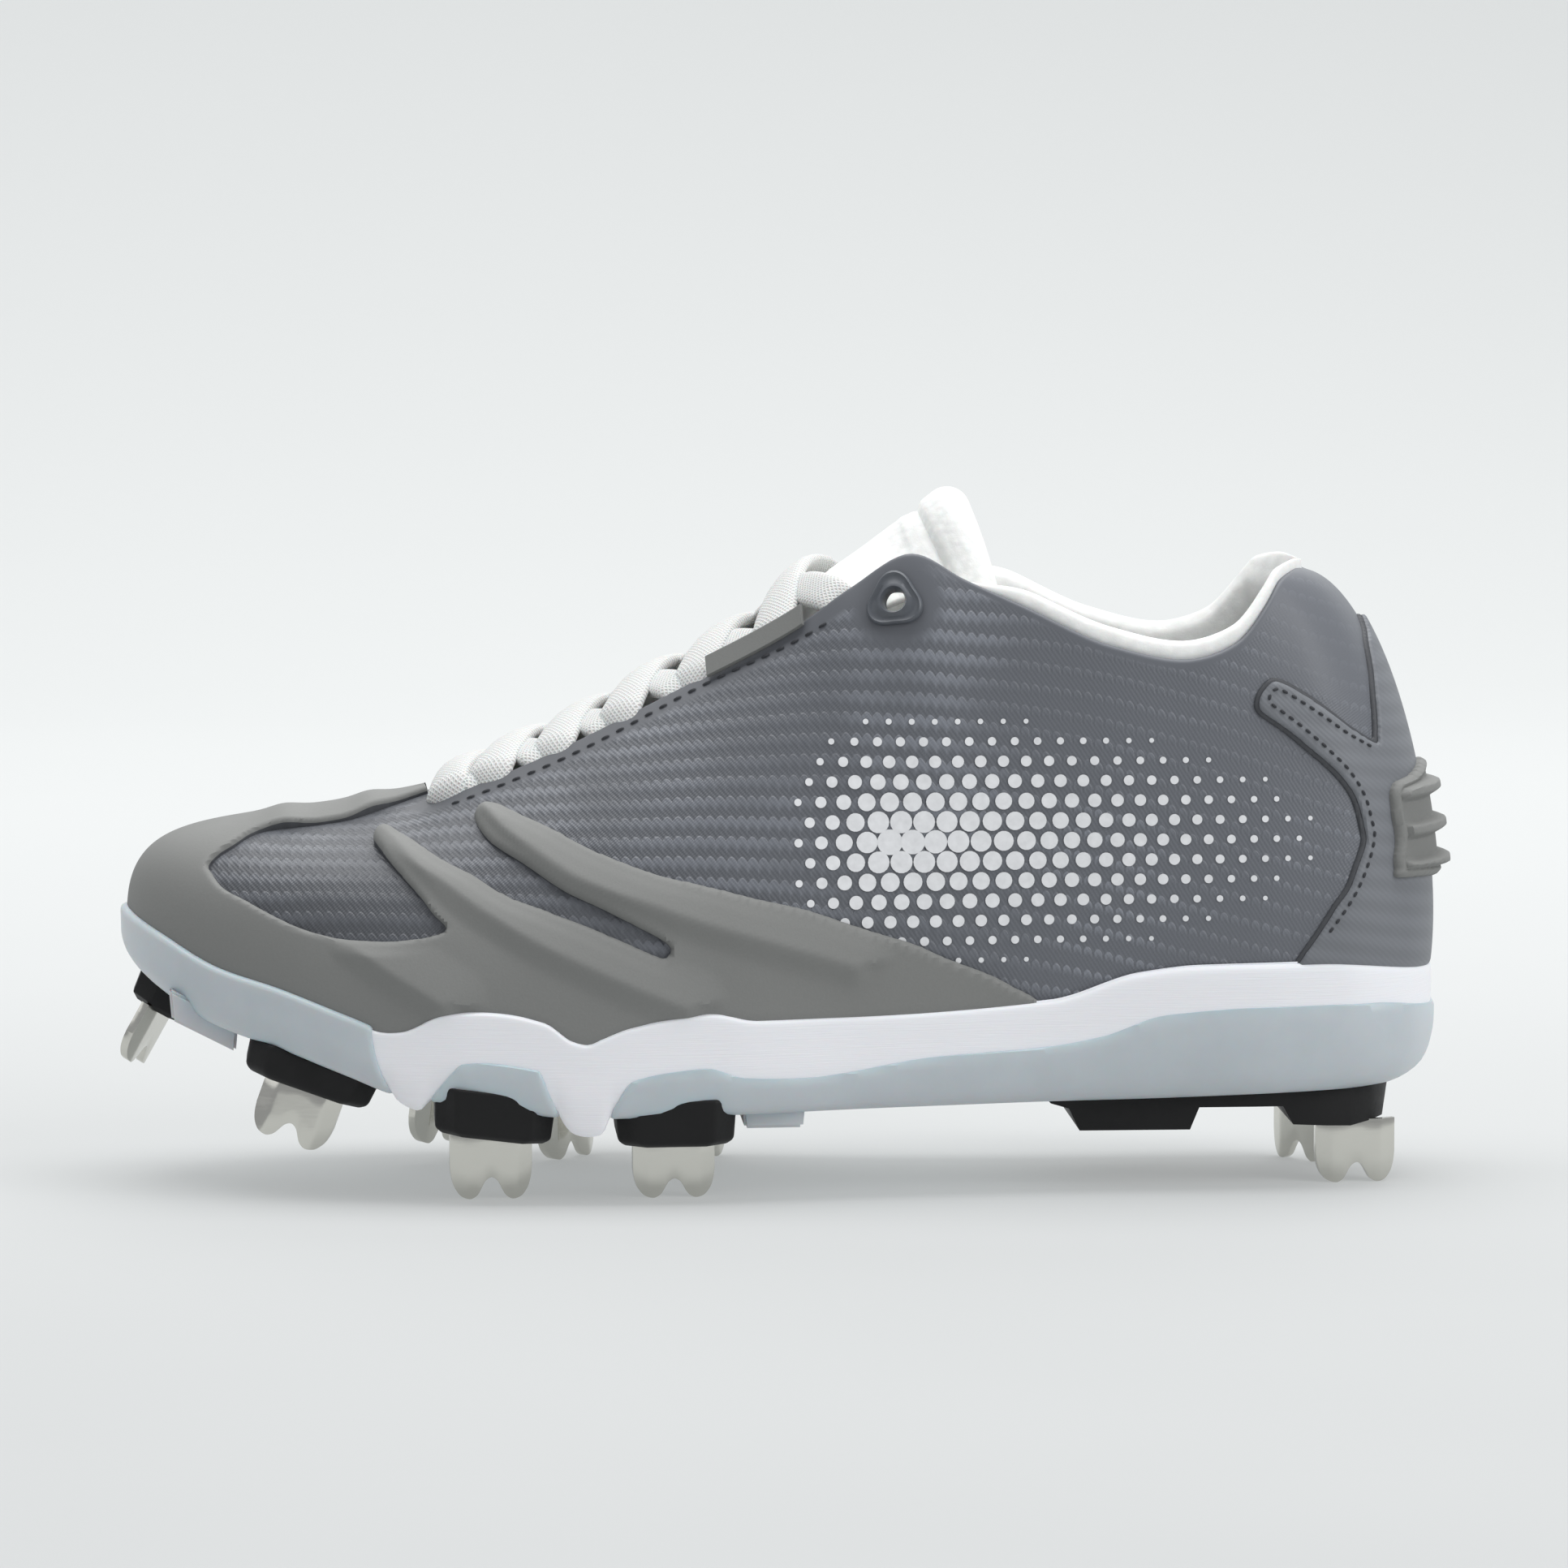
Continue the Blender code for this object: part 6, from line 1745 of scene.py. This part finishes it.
class MakeTrim(PieceMaker, bpy.types.Operator):
    """Make the top eyelets, the tabs on the edge, the stitching and the printed dots."""

    bl_idname = "cleat.trim"
    bl_label = "Trim"

    def execute(self, context):
        for side, name in ((-1, "lateral"), (1, "medial")):
            self.add_eyelet(side, name)
            self.add_tab(side, name)
        self.add_stitches()
        self.add_dots()
        return {"FINISHED"}

    def add_eyelet(self, side, name):
        """A rounded triangular ring with a hole."""
        place = eyelet_matrix(side)
        sides = 48
        points = []
        for grow, lift in EYELET_SECTION:
            for step in range(sides):
                turn = 2 * math.pi * step / sides
                bulge = 1 + 0.13 * math.cos(3 * turn) * min(1.0, grow * 1.6)
                reach = (EYELET_HOLE - 0.0002 + EYELET_RIM * grow) * bulge
                points.append(place @ Vector((reach * math.cos(turn), reach * math.sin(turn),
                                              lift)))
        faces = grid_faces(len(EYELET_SECTION), sides, wrap_rows=True)
        item = mesh_piece(f"eyelet_{name}_ring", points, faces, "eyelet_gloss")
        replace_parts(item, f"eyelet_{name}")

    def add_tab(self, side, name):
        """A flat tab with square corners that stands up past the edge of the eyestay."""
        rings = np.linspace(*TAB_RINGS, 25)
        rings = rings if side < 0 else 1 - rings
        foot = upper_surface(rings, TAB_FOOT, 0.0003)
        climb = unit(rib_points(rings, 1.0) - rib_points(rings, TAB_FOOT))
        climb[:, 2] += TAB_UPRIGHT
        climb = unit(climb)
        out = unit(np.cross(np.gradient(foot, axis=0), climb))
        out *= np.where(out[:, 1:2] * side < 0, -1, 1)
        grid = np.stack([foot + climb * reach + out * wall for reach, wall in TAB_SECTION], 1)
        item = mesh_piece(f"tab_{name}_plate", grid.reshape(-1, 3), tube_faces(*grid.shape[:2]),
                          "overlay_skin")
        outward(item)
        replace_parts(item, f"tab_{name}")

    def add_stitches(self):
        """Stitch lines along the eyestay and round the counter."""
        points, faces = stitch_run(EYESTAY_STITCHES)
        item = mesh_piece("eyestay_stitches", points, faces, "thread_dark")
        points, faces = stitch_run(COUNTER_STITCHES, 0.66)
        item = mesh_piece("counter_stitches", points, faces, "thread_dark")

    def add_dots(self):
        """A plain patch of printed dots that shrink to all sides and towards the heel."""
        step = sizes().dot_step
        spots = np.stack(np.meshgrid(np.linspace(0.235, 0.435, 401), np.linspace(0.10, 0.95, 201),
                                     indexing="ij"), -1).reshape(-1, 2)
        tree = tree_of(rib_points(spots[:, 0], spots[:, 1]) * (1, 0, 1))
        points, faces = [], []
        for row in range(-20, 21):
            for number in range(-4, 34):
                x = DOT_MIDDLE[0] + (number + 0.5 * (row % 2)) * step
                z = DOT_MIDDLE[1] + row * step * DOT_ROW
                tail = DOT_TAIL if x > DOT_MIDDLE[0] else DOT_HEAD
                fall = math.hypot((x - DOT_MIDDLE[0]) / tail, (z - DOT_MIDDLE[1]) / DOT_RISE)
                radius = DOT_FILL * step * (1 - fall)
                _, index, far = tree.find((x, 0, z))
                if radius >= DOT_LEAST and far <= DOT_STRAY:
                    self.add_dot(points, faces, *spots[index], x, z, radius)
        item = mesh_piece("printed_dots", points, faces, "print_white")

    def add_dot(self, points, faces, ring, rise, x, z, radius):
        """One printed dot, round when seen from the side, bent to the surface."""
        place = rib_points(ring, rise)
        out = upper_normal(ring, rise)
        start = len(points)
        sides = 18
        for share in (1.0, 0.5):
            for step in range(sides):
                turn = 2 * math.pi * step / sides
                move = np.array((x - place[0] + radius * share * math.cos(turn), 0.0,
                                 z - place[2] + radius * share * math.sin(turn)))
                move[1] = -(move[0] * out[0] + move[2] * out[2]) / out[1]
                points.append(place + move + out * 0.00022)
        points.append(np.mean(points[start:], axis=0))
        for step in range(sides):
            after = (step + 1) % sides
            faces.append((start + step, start + after, start + sides + after,
                          start + sides + step))
            faces.append((start + sides + step, start + sides + after, start + 2 * sides))


class MakeStuds(PieceMaker, bpy.types.Operator):
    """Make the stud pads, the heel plate and the steel blades."""

    bl_idname = "cleat.studs"
    bl_label = "Studs"

    def execute(self, context):
        for row in STUDS:
            self.add_copy(f"pad_{row.name}", f"stud_pad_{row.name}", 0.0009, "stud_plastic",
                          "black_plastic", lip=row.across < -0.3)
            self.add_blade(row)
        self.add_copy("heel_plate", "heel_plate_moulding", 0.0006, "stud_plastic",
                      "black_plastic")
        for row in HEEL_BLADES:
            self.add_heel_blade(row)
        self.add_copy("insole", "foot_bed", 0.0008, "tongue_knit", "white_textile")
        return {"FINISHED"}

    def add_copy(self, node, name, width, finish, slot, lip=False):
        """The node's own shape with rounded edges."""
        work = bmesh.new()
        work.from_mesh(bpy.data.objects[node].data)
        if lip:
            top = max(vertex.co.z for vertex in work.verts)
            low = min(vertex.co.z for vertex in work.verts)
            edge = min(vertex.co.y for vertex in work.verts)
            for vertex in work.verts:
                outer = 1 - min(1.0, max(0.0, (vertex.co.y - edge - LIP_DEPTH) / LIP_FADE))
                up = (vertex.co.z - low) / (top - low)
                vertex.co.y -= LIP_OUT * outer
                vertex.co.z += LIP_UP * outer * (up > LIP_FROM)
        bmesh.ops.remove_doubles(work, verts=work.verts, dist=1e-5)
        bmesh.ops.dissolve_limit(work, angle_limit=math.radians(2), verts=work.verts,
                                 edges=work.edges)
        edges = [edge for edge in work.edges if len(edge.link_faces) == 2
                 and edge.calc_face_angle(0) > math.radians(25)]
        bmesh.ops.bevel(work, geom=edges, offset=width, segments=3, affect="EDGES",
                        profile=0.6, clamp_overlap=True)
        for face in work.faces:
            face.material_index = 0
        item = worked_piece(name, work, finish)
        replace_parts(item, node)

    def pad_frame(self, row):
        """Frame of a stud pad under the outsole."""
        x = (row.along - 0.5) * SHOE_LENGTH
        half = 0.5 * row.length * BALL_WIDTH
        ends = [float(bottom_height(along_of(np.array(x + sign * half)))) for sign in (-1, 1)]
        slope = math.atan2(ends[1] - ends[0], 2 * half)
        places = np.linspace(x - half, x + half, PAD_PROBES)
        chord = ends[0] + (ends[1] - ends[0]) * (places - x + half) / (2 * half)
        sink = float(np.max(chord - bottom_height(along_of(places)))) + PART_GAP
        middle = 0.5 * (ends[0] + ends[1]) - sink
        place = Matrix.Translation((x, row.across * BALL_WIDTH, middle))
        return place @ Matrix.Rotation(-slope, 4, "Y")

    def add_blade(self, row):
        """The blade under one pad."""
        frame_of_pad = self.pad_frame(row)
        middle = frame_of_pad @ Vector((0, 0, -PAD_DEPTH))
        lift = row.lift * BLADE_REACH
        tilt = frame_of_pad.to_3x3().to_4x4() if lift > 0 else Matrix.Identity(4)
        reach = BLADE_REACH if row.lift >= 0.5 else middle.z - lift
        place = Matrix.Translation(middle) @ tilt @ Matrix.Rotation(math.radians(row.turn), 4,
                                                                    "Z")
        self.blade(place, reach, f"blade_{row.name}")

    def add_heel_blade(self, row):
        """A blade under the heel plate."""
        level = BLADE_REACH + PAD_DEPTH - HEEL_PAD_DEPTH
        place = Matrix.Translation(((row.along - 0.5) * SHOE_LENGTH, row.across * HEEL_WIDTH,
                                    level))
        place = place @ Matrix.Rotation(math.radians(row.turn), 4, "Z")
        self.blade(place, level, f"blade_heel_{row.name}")

    def blade(self, place, reach, node):
        """A bent plate with two rounded lobes and bevelled edges."""
        depth = smooth_curve([row.across for row in BLADE_CURVE],
                             [row.depth for row in BLADE_CURVE])
        half = 0.5 * BLADE_WIDTH
        shares = np.sin(np.linspace(-0.5, 0.5, 61) * math.pi)
        work = bmesh.new()
        columns = []
        for share in shares:
            across = share * half
            beyond = abs(across) - BEND_START * half
            bend = math.tan(BLADE_BEND) * 0.5 * (beyond + math.sqrt(beyond ** 2 + 1e-7))
            low = float(depth(np.array(share)))
            line = []
            for face in (-0.5, 0.5):
                for level in (-0.0010, 0.25 * low * reach, 0.6 * low * reach, low * reach):
                    spot = Vector((across, face * BLADE_THICKNESS + bend, -level))
                    line.append(work.verts.new(place @ spot))
            columns.append(line)
        for before, after in zip(columns, columns[1:]):
            for start in (0, 4):
                for step in range(3):
                    a = start + step
                    work.faces.new((before[a], after[a], after[a + 1], before[a + 1]))
            work.faces.new((before[3], after[3], after[7], before[7]))
            work.faces.new((before[0], before[4], after[4], after[0]))
        for line in (columns[0], columns[-1]):
            for step in range(3):
                work.faces.new((line[step], line[step + 1], line[step + 5], line[step + 4]))
        bmesh.ops.recalc_face_normals(work, faces=work.faces)
        edges = [edge for edge in work.edges if edge.calc_face_angle(0) > math.radians(50)]
        bmesh.ops.bevel(work, geom=edges, offset=BLADE_BEVEL, segments=3, affect="EDGES",
                        profile=0.5, clamp_overlap=True)
        bmesh.ops.translate(work, vec=Vector(PLACE), verts=work.verts)
        item = worked_piece(f"{node}_steel", work, "stud_steel")
        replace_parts(item, node)


class CleatPanel(bpy.types.Panel):
    """Sizes, colours and makers of the cleat's pieces."""

    bl_idname = "VIEW3D_PT_cleat"
    bl_label = "Baseball cleat"
    bl_space_type = "VIEW_3D"
    bl_region_type = "UI"
    bl_category = "Cleat"

    def draw(self, context):
        layout = self.layout
        for group in (context.scene.cleat_sizes, context.scene.cleat_colours):
            box = layout.box()
            for name in group.__annotations__:
                box.prop(group, name)
        for maker in MAKERS:
            layout.operator(maker.bl_idname)


MAKERS = (MakeStage, MakeSole, MakeUpper, MakeOverlays, MakeTongue, MakeCollar, MakeLaces,
          MakeTrim, MakeStuds)
CLASSES = (ShoeSizes, ShoeColours) + MAKERS + (CleatPanel,)


def register():
    """Add the classes and their properties."""
    for item in CLASSES:
        bpy.utils.register_class(item)
    bpy.types.Scene.cleat_sizes = bpy.props.PointerProperty(type=ShoeSizes)
    bpy.types.Scene.cleat_colours = bpy.props.PointerProperty(type=ShoeColours)


def unregister():
    """Remove the classes and their properties."""
    del bpy.types.Scene.cleat_colours
    del bpy.types.Scene.cleat_sizes
    for item in reversed(CLASSES):
        bpy.utils.unregister_class(item)


def main():
    """Make every piece in order."""
    register()
    for call in (bpy.ops.cleat.stage, bpy.ops.cleat.sole, bpy.ops.cleat.upper,
                 bpy.ops.cleat.overlays, bpy.ops.cleat.tongue, bpy.ops.cleat.collar,
                 bpy.ops.cleat.laces, bpy.ops.cleat.trim, bpy.ops.cleat.studs):
        call()


if __name__ == "__main__":
    main()
